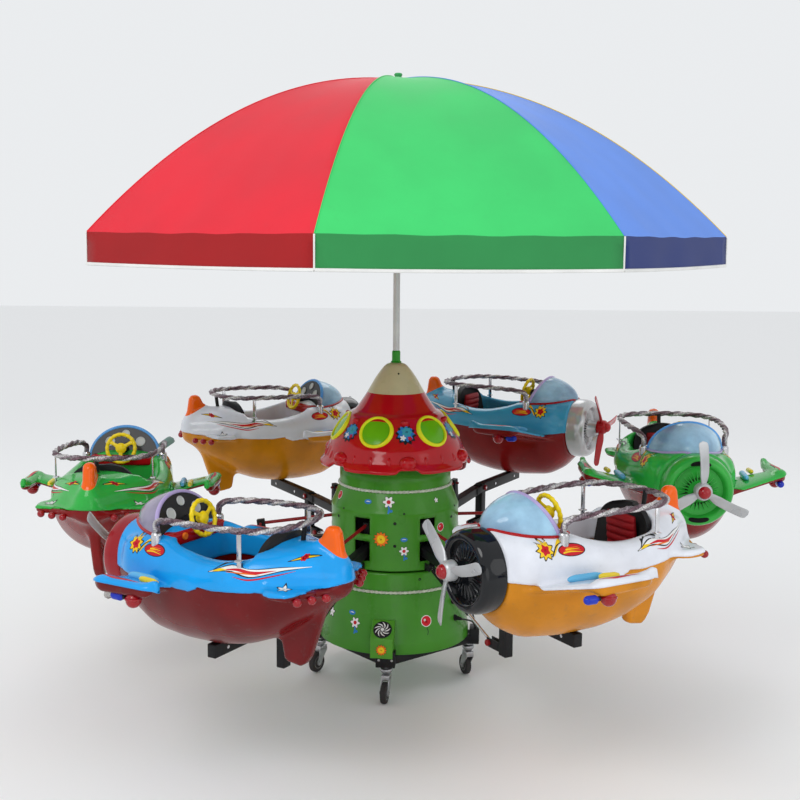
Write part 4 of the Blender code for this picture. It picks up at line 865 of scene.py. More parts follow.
def makeCanopy():
    # A panel lies between two rib curves: straight across from rib to rib, sagging a little towards its middle
    u = umbrella
    rows, columns = 40, 21
    share = np.linspace(0.012, 1.0, rows)[:, None]
    across = np.linspace(0.0, 1.0, columns)[None, :]
    parts, uvs = [], []
    hemRows = 7
    for number in range(8):
        first = math.radians(u["first"] + 45.0 * number)
        second = first + math.radians(45.0)
        radius = u["radius"] * share
        ends = [np.stack([radius * math.sin(a), -radius * math.cos(a), canopyHeight(radius)], -1)
                for a in (first, second)]
        panel = ends[0] * (1 - across[..., None]) + ends[1] * across[..., None]
        bow = 4 * across * (1 - across)
        panel[..., 2] -= bow * (0.010 * np.sin(np.pi * share) + 0.004 * share)
        panel[..., 2] += bow * 0.006 * np.sin(9.0 * np.pi * across + number) * share ** 3 * 0.4
        drop = np.linspace(0.0, 1.0, hemRows)[1:, None]
        outward = np.array([math.sin((first + second) / 2), -math.cos((first + second) / 2), 0.0])
        flutter = np.sin(2 * np.pi * (across * 3 + 0.31 * number)) * 0.0035 * drop
        hem = panel[-1:, :, :] + outward * (0.004 * drop + flutter * bow)[..., None]
        hem[..., 2] = panel[-1:, :, 2] - u["valance"] * drop
        sheet = np.concatenate([panel, hem])
        parts.append((sheet.reshape(-1, 3), gridFaces(rows + hemRows - 1, columns), number % 4))
        flat = np.concatenate([np.stack([radius * (across - 0.5), radius * 1.12 + 0 * across], -1),
                               np.stack([u["radius"] * 0.77 * (across - 0.5) + 0 * drop,
                                         u["radius"] * 1.12 + u["valance"] * drop + 0 * across], -1)])
        uvs.append(flat.reshape(-1, 2) + np.array([2.0 * number, 0.0]))
    materials = [weave(name, colour) for name, colour in u["colours"].items()]
    verts, faces, marks = joined(parts)
    marks = np.array(marks).reshape(8, -1)
    # The valance rows take the darker hem cloths: painted shade
    marks[:, (rows - 1) * (columns - 1):] += 4
    marks = marks.ravel()
    flatUv = np.concatenate(uvs)
    verts = verts - np.array([0.0, 0.0, 0.0006])
    mesh = bpy.data.meshes.new("canopy-cloth")
    mesh.from_pydata(verts.tolist(), [], faces)
    layer = mesh.uv_layers.new(name="panel")
    corners = np.empty(len(mesh.loops), np.int32)
    mesh.loops.foreach_get("vertex_index", corners)
    layer.data.foreach_set("uv", flatUv[corners].astype(np.float32).ravel())
    mesh.polygons.foreach_set("material_index", np.array(marks, np.int32))
    for material in materials:
        mesh.materials.append(material)
    bm = bmesh.new()
    bm.from_mesh(mesh)
    bmesh.ops.remove_doubles(bm, verts=bm.verts, dist=0.0008)
    bmesh.ops.recalc_face_normals(bm, faces=bm.faces)
    bm.to_mesh(mesh)
    area = sum(face.calc_area() for face in bm.faces)
    bm.free()
    mesh.polygons.foreach_set("use_smooth", np.full(len(mesh.polygons), True))
    mesh.set_sharp_from_angle(angle=math.radians(32.0))
    cloth = bpy.data.objects.new("canopy-cloth", mesh)
    bpy.context.scene.collection.objects.link(cloth)
    thick = cloth.modifiers.new("thickness", "SOLIDIFY")
    thick.thickness = 0.0015
    thick.offset = -1.0
    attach(cloth, "turntable")
    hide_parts("umbrella_canopy")
    piping = []
    low = u["rim"] - u["valance"]
    for number in range(8):
        first = math.radians(u["first"] + 45.0 * number)
        second = first + math.radians(45.0)
        t = np.linspace(0.0, 1.0, columns)[:, None]
        ends = [np.array([u["radius"] * math.sin(a), -u["radius"] * math.cos(a), low + 0.002])
                for a in (first, second)]
        outward = np.array([math.sin((first + second) / 2), -math.cos((first + second) / 2), 0.0])
        flutter = np.sin(2 * np.pi * (t * 3 + 0.31 * number)) * 0.0035 * 4 * t * (1 - t)
        run = ends[0] * (1 - t) + ends[1] * t + outward * (0.0035 + flutter)
        run[:, 2] -= (4 * t * (1 - t) * 0.004)[:, 0]
        piping.append(swept(run, 0.0042, 8, squash=1.6))
        corner = ends[0] + onDrum(math.degrees(first), 0.0035, 0.0)
        piping.append(swept([corner, corner + np.array([0, 0, u["valance"] - 0.004])], 0.0035, 8))
        seam = np.linspace(0.02, 1.0, 36)
        r = u["radius"] * seam
        run = np.stack([r * math.sin(first), -r * math.cos(first), canopyHeight(r) + 0.0004], -1)
        piping.append(marked(swept(run, 0.0022, 6), 1 + number % 4))
    trim = addPiece("canopy-piping", piping, ["pipingWhite"] + materials[:4], "turntable", slot="canopy_cloth")
    knob = addPiece("canopy-knob", [revolved(softened([
        (0.060, 2.8545), (0.052, 2.8600), (0.018, 2.8630), (0.015, 2.8700), (0.020, 2.8790), (0.015, 2.8860),
        (0.0, 2.8880)], 0.002), 48)], ["knobGreen"], "turntable", slot="canopy_cloth")


def makeUmbrellaFrame():
    u = umbrella
    top = u["apex"] - u["cloth"] - 0.001
    crown = top - 0.050
    pole = revolved(softened([(0.0, top), (0.012, top), (0.016, top - 0.02), (0.016, 1.5945),
                              (0.0160, 1.5935)], 0.002), 40)
    hub = revolved(softened([(0.016, crown + 0.010), (0.034, crown + 0.010), (0.034, crown - 0.020),
                             (0.016, crown - 0.020)], 0.003), 32)
    runner = revolved(softened([(0.016, u["runner"] + 0.020), (0.034, u["runner"] + 0.020),
                                (0.034, u["runner"] - 0.005), (0.024, u["runner"] - 0.010),
                                (0.024, u["runner"] - 0.020), (0.016, u["runner"] - 0.020)], 0.003), 32)
    ribs = []
    drop = u["cloth"] + 0.005 + 0.006
    for number in range(8):
        turn = turnedTo(u["first"] + 45.0 * number)
        radii = np.linspace(0.225, u["radius"] - 0.012, 26)
        heights = np.minimum(canopyHeight(radii) - drop, crown - 0.002)
        run = np.concatenate([[(0, 0.02, crown - 0.002)], np.stack([0 * radii, radii, heights], -1)])
        ribs.append(moved(turn, swept(run, 0.0045, 8, squash=1.3)))
        jointY = 0.56 * u["radius"]
        jointZ = float(canopyHeight(jointY)) - drop - 0.006
        ribs.append(moved(turn, block((-0.008, jointY - 0.014, jointZ - 0.008),
                                      (0.008, jointY + 0.014, jointZ + 0.010), 0.002)))
        ribs.append(moved(turn, swept([(0, 0.02, u["runner"]), (0, jointY, jointZ)], 0.004, 8)))
        tip = (0, u["radius"] - 0.012, float(canopyHeight(u["radius"] - 0.012)) - drop)
        ribs.append(moved(turn, ellipsoid(tip, (0.006, 0.007, 0.006), 12, 8)))
    addPiece("umbrella-pole", [pole, hub, runner], ["poleGrey"], "turntable", replaces=["umbrella_frame"])
    addPiece("umbrella-ribs", ribs, ["poleGrey"], "turntable", slot="pole_grey")
    socket = revolved(softened([(0.0165, 1.600), (0.0200, 1.594), (0.0200, 1.552), (0.0260, 1.546), (0.0260, 1.5434),
                                (0.010, 1.5434)], 0.0015), 32)
    addPiece("umbrella-socket", [socket], ["socketGreen"], "turntable", slot="drum_green")


makeUmbrellaFrame()
makeCanopy()
print("umbrella ready")


# Plane seats. All are one moulding: a field that is negative inside, its zero surface meshed once,
# in the plane's own metres (x ahead, y outwards, z up), then placed on each carrier

plane = {
    "hub": (0.525, 0.0, 0.305), "wheel": (0.095, 0.0, 0.475), "wheelTilt": 14.0,
    "stations": ((0.430, 0.160, 0.128, 0.287, 0.449), (0.392, 0.165, 0.124, 0.286, 0.450),
                 (0.350, 0.186, 0.060, 0.283, 0.451), (0.250, 0.222, 0.004, 0.285, 0.455),
                 (0.100, 0.254, -0.010, 0.290, 0.452), (-0.060, 0.268, -0.006, 0.285, 0.446),
                 (-0.170, 0.264, 0.014, 0.288, 0.446), (-0.290, 0.242, 0.060, 0.295, 0.450),
                 (-0.430, 0.160, 0.150, 0.305, 0.440), (-0.520, 0.088, 0.225, 0.315, 0.415),
                 (-0.580, 0.050, 0.265, 0.320, 0.385)),
    "squareness": 2.5, "bilge": 2.0, "front": 0.398, "back": -0.580,
    "parting": ((-0.58, 0.318), (-0.45, 0.300), (-0.30, 0.290), (-0.15, 0.282), (0.00, 0.296), (0.10, 0.290),
                (0.20, 0.262), (0.28, 0.262), (0.39, 0.278)),
    "scoop": (-0.115, 0.844, 0.464), "cockpit": (-0.315, 0.125, 0.175), "seat": (-0.060, 0.220, 0.150),
    "screen": ((0.172, 0.0, 0.425), (0.225, 0.170, 0.138)), "lean": 0.45, "cell": 0.0085}


def smoothMin(a, b, r):
    # Polynomial blend of two fields over a width r
    h = np.clip(0.5 + 0.5 * (b - a) / r, 0.0, 1.0)
    return b + (a - b) * h - r * h * (1.0 - h)


def smoothMax(a, b, r):
    return -smoothMin(-a, -b, r)


def table(values, spread=0.022):
    # Values by x, smoothed by a moving Gaussian, as a function
    values = np.array(sorted(values), float)
    x = np.linspace(values[0, 0], values[-1, 0], 500)
    step = x[1] - x[0]
    kernel = np.exp(-0.5 * (np.arange(-60, 61) * step / spread) ** 2)
    kernel /= kernel.sum()
    columns = []
    for column in values[:, 1:].T:
        dense = np.interp(x, values[:, 0], column)
        dense = np.concatenate([2 * dense[0] - dense[60:0:-1], dense, 2 * dense[-1] - dense[-2:-62:-1]])
        columns.append(np.convolve(dense, kernel, "valid"))
    return lambda where: [np.interp(where, x, column) for column in columns]


hullAt = table(plane["stations"])
partingAt = table(plane["parting"], 0.012)


def fromPolygon(u, v, outline):
    # Signed distance to a closed outline, negative inside
    outline = np.asarray(outline, float)
    best = np.full(u.shape, 1e9)
    inside = np.zeros(u.shape, bool)
    for a, b in zip(outline, np.roll(outline, -1, 0)):
        edge = b - a
        t = np.clip(((u - a[0]) * edge[0] + (v - a[1]) * edge[1]) / (edge @ edge), 0.0, 1.0)
        best = np.minimum(best, (u - a[0] - t * edge[0]) ** 2 + (v - a[1] - t * edge[1]) ** 2)
        if a[1] != b[1]:
            inside ^= ((a[1] > v) != (b[1] > v)) & (u < (b[0] - a[0]) * (v - a[1]) / (b[1] - a[1]) + a[0])
    best = np.sqrt(best)
    return np.where(inside, -best, best)


def roundedPlate(flat, thick, half, r):
    # Plate of a flat outline's field and a half thickness, with rounded edges
    a, b = flat + r, np.abs(thick) - half + r
    return np.minimum(np.maximum(a, b), 0.0) + np.sqrt(np.maximum(a, 0.0) ** 2 + np.maximum(b, 0.0) ** 2) - r


def superSection(y, z, half, low, waist, top, power):
    # Distance along the ray from the waist's centre to a superellipse section
    tall = np.where(z > waist, top - waist, waist - low)
    size = ((np.abs(y) / half) ** power + (np.abs(z - waist) / tall) ** power + 1e-12) ** (1.0 / power)
    reach = np.sqrt(y * y + (z - waist) ** 2) + 1e-6
    return reach - reach / size


finOutline = [(-0.300, 0.400), (-0.370, 0.428), (-0.430, 0.446), (-0.466, 0.474), (-0.485, 0.510), (-0.500, 0.520),
              (-0.530, 0.519), (-0.545, 0.500), (-0.556, 0.430), (-0.578, 0.330), (-0.500, 0.300), (-0.350, 0.330)]
keelOutline = [(-0.200, 0.110), (-0.264, 0.080), (-0.284, 0.036), (-0.294, -0.020), (-0.312, -0.034),
               (-0.345, -0.040), (-0.376, -0.044), (-0.398, -0.030), (-0.420, 0.002), (-0.455, 0.100),
               (-0.490, 0.206), (-0.520, 0.290), (-0.400, 0.290), (-0.335, 0.205), (-0.250, 0.190)]
tailScallops = {"count": 3, "depth": 0.012}
wing = {"root": 0.200, "rise": 14.0, "z": 0.248, "lead": (0.325, -0.31), "trail": (0.050, 0.22), "half": 0.018}


def tailOutline():
    # Half plan of the tailplane with a scalloped trailing edge
    lead = [(-0.300, 0.100), (-0.335, 0.180), (-0.352, 0.225), (-0.372, 0.248), (-0.405, 0.262), (-0.440, 0.262)]
    start, end = np.array([-0.475, 0.258]), np.array([-0.560, 0.078])
    t = np.linspace(0.0, 1.0, 25)
    out = np.array([-0.905, -0.426])
    scallop = np.abs(np.sin(np.pi * tailScallops["count"] * t)) ** 0.6 * tailScallops["depth"]
    trail = start + (end - start) * t[:, None] + out * scallop[:, None]
    half = lead + [tuple(p) for p in trail] + [(-0.570, 0.0)]
    return half


tailHalf = tailOutline() + [(-0.300, 0.0)]


def wingMiddle(y):
    return wing["z"] + (np.abs(y) - wing["root"]) * math.tan(math.radians(wing["rise"]))


def bodyField(x, y, z):
    half, low, waist, top = hullAt(x)
    hull = superSection(y, z, half, low, waist, top, np.where(z > waist, plane["squareness"], plane["bilge"]))
    hull = smoothMax(hull, x - plane["front"], 0.010)
    hull = smoothMax(hull, plane["back"] - x, 0.030)
    # Cheek behind the cowl on each side
    cheek = superSection(np.abs(y) - 0.172, z, 0.030, 0.280, 0.345, 0.405, 2.2)
    cheek = smoothMax(cheek, np.abs(x - 0.205) - 0.125, 0.060)
    hull = smoothMin(hull, cheek, 0.040)
    tail = roundedPlate(fromPolygon(x, np.abs(y), tailHalf), z - 0.292 - 0.03 * np.abs(y), 0.019, 0.016)
    body = smoothMin(hull, tail, 0.045)
    fin = roundedPlate(fromPolygon(x, z, finOutline), y, 0.027, 0.024)
    body = smoothMin(body, fin, 0.040)
    keel = roundedPlate(fromPolygon(x, z, keelOutline), y, 0.031, 0.022)
    body = smoothMin(body, keel, 0.030)
    rise = math.radians(wing["rise"])
    out, up = np.abs(y) - wing["root"], z - wing["z"]
    along, above = out * math.cos(rise) + up * math.sin(rise), -out * math.sin(rise) + up * math.cos(rise)
    ahead = wing["lead"][0] + wing["lead"][1] * along
    behind = wing["trail"][0] + wing["trail"][1] * along
    chord = np.maximum((ahead - behind) / 2, 0.02)
    middle = (ahead + behind) / 2
    slab = superSection(x - middle, above, chord, -wing["half"], 0.0, wing["half"], 2.6)
    slab = smoothMax(slab, along - 0.262, 0.012)
    slab = smoothMax(slab, -0.07 - along, 0.012)
    body = smoothMin(body, slab, 0.034)
    # Float at the wing's tip: a rounded bar that tapers to the rear
    taper = np.clip((x + 0.055) / 0.32, 0.0, 1.0)
    size = 0.024 + 0.010 * np.sqrt(taper)
    float_ = superSection(np.abs(y) - 0.4455, z, size, 0.306 - size * 1.05, 0.306, 0.306 + size, 2.5)
    float_ = smoothMax(float_, np.abs(x - 0.100) - 0.142, 0.050)
    body = smoothMin(body, float_, 0.020)
    flick = roundedPlate(fromPolygon(x, z, [(0.035, 0.320), (-0.060, 0.306), (-0.052, 0.345), (-0.035, 0.350)]),
                         np.abs(y) - 0.440, 0.012, 0.008)
    return smoothMin(body, flick, 0.016)


def cockpitField(x, y, z):
    back, front, half = plane["cockpit"]
    seatFront, seatZ, wellZ = plane["seat"]
    middle, long = (back + front) / 2, (front - back) / 2
    r = 0.085
    a, b = np.abs(x - middle) - long + r, np.abs(y) - half + r
    plan = np.minimum(np.maximum(a, b), 0.0) + np.sqrt(np.maximum(a, 0) ** 2 + np.maximum(b, 0) ** 2) - r
    floor = wellZ + (seatZ - wellZ) * np.clip((seatFront + 0.02 - x) / 0.03, 0.0, 1.0)
    return smoothMax(plan, floor - z, 0.030)


def cutBody(x, y, z):
    body = bodyField(x, y, z)
    sx, sz, sr = plane["scoop"]
    scoop = np.sqrt((x - sx) ** 2 + (z - sz) ** 2) - sr
    rear = np.clip((-0.28 - x) / 0.05, 0.0, 1.0) * 0.2
    body = smoothMax(body, -(scoop + rear), 0.030)
    return smoothMax(body, -cockpitField(x, y, z), 0.014)


def partingHeight(x, y):
    out = np.clip((np.abs(y) - 0.215) / 0.05, 0.0, 1.0)
    level = partingAt(x)[0]
    onWing = np.clip((x + 0.10) / 0.06, 0.0, 1.0)
    side = np.where(x > -0.08, wingMiddle(y), level)
    share = out * out * (3 - 2 * out) * onWing
    return level * (1 - share) + side * share


def shellField(x, y, z):
    return smoothMax(cutBody(x, y, z), partingHeight(x, y) - z, 0.006)


def bellyField(x, y, z):
    return smoothMax(cutBody(x, y, z) + 0.0065, z - partingHeight(x, y) - 0.012, 0.006)


def netSurface(field, low, high, cell):
    # Surface net: one point in every cell that the surface crosses, at the mean of its edge crossings,
    # then moved onto the surface by Newton steps along the field's gradient
    axes = [np.arange(a, b + cell, cell) for a, b in zip(low, high)]
    grid = np.meshgrid(*axes, indexing="ij")
    values = field(*[g.ravel() for g in grid]).reshape(grid[0].shape)
    inside = values < 0
    shape = tuple(n - 1 for n in values.shape)
    total = np.zeros(shape + (3,))
    count = np.zeros(shape)
    crossings = []
    for axis in range(3):
        head = [slice(None)] * 3
        tail = [slice(None)] * 3
        head[axis], tail[axis] = slice(0, -1), slice(1, None)
        head, tail = tuple(head), tuple(tail)
        crossed = inside[head] != inside[tail]
        share = np.where(crossed, values[head] / np.where(crossed, values[head] - values[tail], 1.0), 0.0)
        point = np.stack([g[head] for g in grid], -1)
        point[..., axis] += share * cell
        crossings.append((crossed, inside[head]))
        others = [k for k in range(3) if k != axis]
        for a in (0, 1):
            for b in (0, 1):
                cut = [slice(None)] * 3
                for other, shift in zip(others, (a, b)):
                    cut[other] = slice(shift, shape[other] + shift)
                cut = tuple(cut)
                total += point[cut] * crossed[cut][..., None]
                count += crossed[cut]
    active = count > 0
    number = np.full(shape, -1)
    number[active] = np.arange(active.sum())
    verts = total[active] / count[active][:, None]
    quads = []
    for axis, (crossed, starts) in enumerate(crossings):
        others = [k for k in range(3) if k != axis]
        inner = [slice(None)] * 3
        for other in others:
            inner[other] = slice(1, -1)
        inner = tuple(inner)
        where = np.argwhere(crossed[inner])
        where[:, others] += 1
        flip = starts[inner][crossed[inner]]
        corners = []
        for a, b in ((0, 0), (1, 0), (1, 1), (0, 1)):
            cell3 = where.copy()
            cell3[:, others[0]] -= a
            cell3[:, others[1]] -= b
            corners.append(number[tuple(cell3.T)])
        quad = np.stack(corners, -1)
        if axis == 1:
            flip = ~flip
        quad[~flip] = quad[~flip][:, ::-1]
        quads.append(quad)
    quads = np.concatenate(quads)
    start = verts.copy()
    for step in range(4):
        value = field(*verts.T)
        slope = np.stack([(field(*(verts + d).T) - field(*(verts - d).T)) / 0.002
                          for d in 0.001 * np.eye(3)], -1)
        move = slope * (value / np.maximum((slope ** 2).sum(1), 0.05))[:, None]
        long = np.linalg.norm(move, axis=1)[:, None]
        verts = verts - move * np.minimum(1.0, 0.5 * cell / np.maximum(long, 1e-9))
    far = verts - start
    long = np.linalg.norm(far, axis=1)[:, None]
    verts = start + far * np.minimum(1.0, 1.2 * cell / np.maximum(long, 1e-9))
    return verts, quads


def meshPlane():
    low, high = (-0.62, -0.50, -0.075), (0.42, 0.50, 0.56)
    return {"shell": netSurface(shellField, low, high, plane["cell"]),
            "belly": netSurface(bellyField, low, high, plane["cell"])}


planeMeshes = meshPlane()
print("plane moulding meshed,", len(planeMeshes["shell"][0]), "and", len(planeMeshes["belly"][0]), "points")


# What differs from seat to seat

usual = {"podShift": 0.0, "blades": "bladeSilver", "pane": "paneBlue", "hoop": "hoopLilac", "trim": "dashRed",
         "vents": False}
planeColours = {
    "front_right": {**usual, "podShift": 0.045, "shell": "shellWhite", "belly": "bellyOrange", "cowl": "cowlBlack"},
    "right": {**usual, "shell": "shellGreen", "belly": "bellyRed", "cowl": "cowlGreen", "hoop": "hoopBlue",
              "trim": "hoopLilac", "vents": True},
    "back_right": {**usual, "shell": "shellSky", "belly": "bellyRed", "cowl": "cowlSilver", "blades": "bladeRed"},
    "back_left": {**usual, "shell": "shellWhite", "belly": "bellyOrange", "cowl": "cowlBlack", "hoop": "hoopBlue"},
    "left": {**usual, "shell": "shellGreen", "belly": "bellyRed", "cowl": "cowlGreen", "blades": "bladeTeal",
             "hoop": "hoopBlue", "trim": "hoopBlue", "vents": True},
    "front_left": {**usual, "podShift": -0.07, "shell": "shellBlue", "belly": "bellyDark", "cowl": "cowlRed",
                   "blades": "bladeClear", "pane": "paneLilac"}}

cowl = {"z": 0.290, "rib": 26}


def cowlParts(vents):
    # Ring profile turned about the nose's axis; the face inside it has radial ribs by the angle's cosine
    ring = softened([(0.150, 0.391), (0.160, 0.395), (0.1615, 0.406), (0.1610, 0.446), (0.1560, 0.473),
                     (0.1430, 0.490), (0.1270, 0.493), (0.1180, 0.486), (0.1130, 0.474), (0.1100, 0.466)], 0.008, 3)
    parts = [revolved(ring, 96, "X")]
    steps = 288
    rows = np.array([0.1150, 0.1100, 0.1060, 0.1020, 0.098, 0.088, 0.076, 0.064, 0.054, 0.050, 0.046, 0.042, 0.040])
    rise = np.array([0.460, 0.466, 0.467, 0.466, 0.464, 0.465, 0.467, 0.469, 0.471, 0.476, 0.484, 0.492, 0.5240])
    ribbed = np.array([0, 0, 0, 0, 0, 0.4, 1, 1, 0.7, 0.1, 0, 0, 0] if vents
                      else [0, 0, 0.1, 0.7, 1, 1, 1, 1, 0.7, 0.1, 0, 0, 0])
    turn = np.linspace(0.0, 2 * math.pi, steps, endpoint=False)[None, :]
    wave = np.clip(1.4 * np.cos(turn * cowl["rib"]), -1.0, 1.0)
    r = rows[:, None]
    x = rise[:, None] + 0.0042 * ribbed[:, None] * wave
    face = np.stack([x, r * np.cos(turn), r * np.sin(turn)], -1).reshape(-1, 3)
    quads = gridFaces(len(rows), steps, loopColumns=True)
    # Faces sunk between the ribs take the near-black finish: painted shade in the grooves
    dark = (np.repeat(ribbed[:-1] * ribbed[1:] > 0.05, steps) & np.tile(wave[0] < -0.2, len(rows) - 1))
    parts.append((face, [q for q, d in zip(quads, dark) if not d]))
    parts.append((face, [q for q, d in zip(quads, dark) if d], 1))
    nose = [(0.041, 0.470), (0.041, 0.516), (0.034, 0.5235), (0.012, 0.5245)]
    parts.append(revolved(softened(nose, 0.003), 40, "X"))
    if vents:
        # Two long slots in the ring, above and below, painted near-black as the shade inside them
        for side in (-1, 1):
            bend = np.linspace(-0.36, 0.36, 25)[:, None]
            wide = 0.0105 * np.sqrt(np.clip(1 - (bend / 0.37) ** 4, 0.03, 1.0))
            reach = 0.1285 + wide * np.linspace(-1, 1, 7)[None, :]
            depth = 0.4938 - 0.35 * np.maximum(reach - 0.1310, 0.0) - 0.80 * np.maximum(0.1270 - reach, 0.0)
            slot = np.stack([depth, reach * np.sin(bend), side * reach * np.cos(bend)], -1)
            parts.append((slot.reshape(-1, 3), gridFaces(25, 7), 1))
    return [moved(Matrix.Translation((0, 0, cowl["z"])), part) for part in parts]


def propellerParts():
    # Blade: superellipse section whose chord, thickness and pitch change with the radius
    u = np.linspace(0.0, 1.0, 34)
    reach = 0.020 + 0.205 * u
    tip = np.clip(1.0 - np.clip((u - 0.87) / 0.13, 0, 1) ** 2.6, 0.0, 1.0) ** 0.4
    widening = np.clip(u / 0.30, 0.0, 1.0)
    chord = (0.0135 + 0.0100 * widening ** 2 * (3 - 2 * widening)) * np.maximum(tip, 0.02)
    thick = (0.0095 - 0.0060 * u) * np.maximum(tip, 0.1)
    pitch = np.radians(20.0 * u - 34.0)
    turn = np.linspace(0.0, 2 * math.pi, 20, endpoint=False)[None, :]
    across = chord[:, None] * np.cos(turn)
    flat = thick[:, None] * np.sign(np.sin(turn)) * np.abs(np.sin(turn)) ** 0.8 + 0.004 * (across / 0.026) ** 2
    y = across * np.cos(pitch)[:, None] - flat * np.sin(pitch)[:, None] + 0.006 * np.sin(np.pi * u)[:, None]
    x = 0.026 + across * np.sin(pitch)[:, None] + flat * np.cos(pitch)[:, None]
    blade = np.stack([x, y, reach[:, None] + 0 * y], -1).reshape(-1, 3)
    faces = gridFaces(34, 20, loopColumns=True)
    last = len(blade)
    blade = np.concatenate([blade, blade[-20:].mean(0)[None]])
    faces += [(last - 20 + k, last - 20 + (k + 1) % 20, last) for k in range(20)]
    parts = [moved(Matrix.Rotation(math.radians(120.0 * n), 4, "X"), (blade, faces)) for n in range(3)]
    parts.append(revolved(softened([(0.014, 0.0005), (0.038, 0.0005), (0.040, 0.008), (0.038, 0.040),
                                    (0.030, 0.050), (0.012, 0.051)], 0.004), 48, "X"))
    dome = np.linspace(0.0, math.pi / 2, 12)
    cap = np.stack([0.0285 * np.cos(dome), 0.049 + 0.0245 * np.sin(dome)], -1)
    parts.append(marked(revolved(np.concatenate([[(0.0285, 0.046)], cap[:-1], [(0.0, 0.0735)]]), 40, "X"), 1))
    return parts


def steeringParts():
    # Rim: torus with finger bumps; three broad spokes and a domed boss
    turn = np.linspace(0.0, 2 * math.pi, 120, endpoint=False)
    rim = np.stack([0 * turn, 0.068 * np.cos(turn), 0.068 * np.sin(turn)], -1)
    parts = [swept(rim, 0.0092, 14, closed=True,
                   ripple=lambda t, s: 1.0 + 0.10 * np.cos(2 * np.pi * 18 * s / (2 * np.pi * 0.068)))]
    for number in range(3):
        v = np.linspace(0.0, 1.0, 14)[:, None]
        half = (0.013 - 0.005 * np.sin(np.pi * v)) * np.linspace(-1.0, 1.0, 7)[None, :]
        reach = 0.014 + 0.052 * v + 0 * half
        bulge = 0.0035 * np.sqrt(np.clip(1 - np.linspace(-1, 1, 7)[None, :] ** 2, 0, 1)) + 0.0008
        lean = -0.006 + 0.006 * v
        front = np.stack([lean - bulge + 0 * half, half, reach], -1).reshape(-1, 3)
        rear = np.stack([lean + bulge + 0 * half, half, reach], -1).reshape(-1, 3)
        spin = Matrix.Rotation(math.radians(60.0 + 120.0 * number), 4, "X")
        parts.append(moved(spin, plateOf(front, rear, 14, 7)))
    parts.append(revolved(softened([(0.0, -0.016), (0.010, -0.0155), (0.018, -0.012), (0.026, -0.006), (0.027, 0.000),
                                    (0.020, 0.004), (0.0195, 0.0240), (0.010, 0.0247)], 0.003), 40, "X"))
    for number in range(6):
        spin = Matrix.Rotation(math.radians(60.0 * number + 30.0), 4, "X")
        parts.append(moved(spin, ellipsoid((-0.0095, 0.0, 0.0175), (0.0022, 0.0035, 0.0035), 12, 8)))
    return parts


screen = {"hoop": 0.0085, "trim": 0.0085, "pane": 0.003}


def leant(points):
    # The screen leans ahead: x + lean (z - its foot)
    points = np.array(points, float)
    points[..., 0] += plane["lean"] * (points[..., 2] - plane["screen"][0][2])
    return points


def screenPoint(beta, gamma, inset=0.0):
    # Quarter ellipsoid drawn in towards a cone: x = a sin^1.4 beta, y and z = b, c cos^1.15 beta
    (cx, _, cz), (a, b, c) = plane["screen"]
    near = np.cos(beta) ** 1.15
    y = (b - inset) * near * np.cos(gamma)
    z = cz + (c - inset) * near * np.sin(gamma)
    return cx + (a - inset) * np.sin(beta) ** 1.4 + plane["lean"] * (z - cz) + 0 * gamma, y, z


def paneParts():
    # The screen's surface from the rear hoop to the nose, 3 mm thick
    beta = np.linspace(0.0, math.radians(89.0), 40)[:, None]
    gamma = np.linspace(math.radians(-6.0), math.radians(186.0), 64)[None, :]
    sheets = []
    for inset in (0.0, screen["pane"]):
        sheets.append(np.stack(screenPoint(beta, gamma, inset), -1).reshape(-1, 3))
    return [plateOf(sheets[0], sheets[1], 40, 64)]


def arch(x, inset, count=60, low=-10.0):
    (cx, _, cz), (a, b, c) = plane["screen"]
    gamma = np.radians(np.linspace(low, 180.0 - low, count))
    squeeze = math.sqrt(max(0.0, 1.0 - ((x - cx) / a) ** 2)) if x > cx else 1.0
    across, high = b * squeeze - inset, c * squeeze - inset
    return np.stack([x + 0 * gamma, across * np.cos(gamma), cz + high * np.sin(gamma)], -1)


def trimLine():
    # Where the pane meets the deck: along each meridian, the last point outside the moulding
    beta = np.radians(np.linspace(2.0, 88.0, 70))[None, :]
    found = []
    gammas = np.radians(np.linspace(-4.0, 184.0, 220))[:, None]
    x, y, z = screenPoint(beta, gammas)
    outside = shellField(x.ravel(), y.ravel(), z.ravel()).reshape(x.shape) > 0.0
    for column in range(0, x.shape[1], 2):
        rows = np.flatnonzero(outside[:, column])
        if len(rows):
            found.append((column, rows[0], rows[-1]))
    right = [(x[r, k], y[r, k], z[r, k]) for k, r, q in found]
    left = [(x[q, k], y[q, k], z[q, k]) for k, r, q in found]
    line = np.array(right + left[::-1])
    kernel = np.array([1, 2, 3, 2, 1]) / 9.0
    smooth = np.stack([np.convolve(np.pad(line[:, k], 2, "edge"), kernel, "valid") for k in range(3)], -1)
    return smooth


def pad(centre, size, thick, ribs, tilt, ribDepth):
    # Crowned pad: thickness falls to the edge by a superellipse, with sewn channels across it
    u = np.linspace(-1.0, 1.0, 43)[:, None]
    v = np.linspace(-1.0, 1.0, 43)[None, :]
    crown = np.clip(1 - np.abs(u) ** 4, 0, 1) ** 0.5 * np.clip(1 - np.abs(v) ** 4, 0, 1) ** 0.5
    channel = np.abs(np.sin(np.pi * ribs * (v + 1) / 2)) ** 0.45
    high = thick * crown * (1 - ribDepth + ribDepth * channel)
    pull = 1.0 - 0.04 * np.abs(u * v)
    top = np.stack([u * size[0] * pull, v * size[1] * pull, high], -1).reshape(-1, 3)
    under = np.stack([u * size[0] * pull, v * size[1] * pull, -0.10 * high], -1).reshape(-1, 3)
    turn = Matrix.Translation(centre) @ Matrix.Rotation(math.radians(tilt), 4, "Y") @ Matrix.Rotation(
        math.radians(-90.0), 4, "Z")
    return moved(turn, plateOf(top, under, 43, 43))


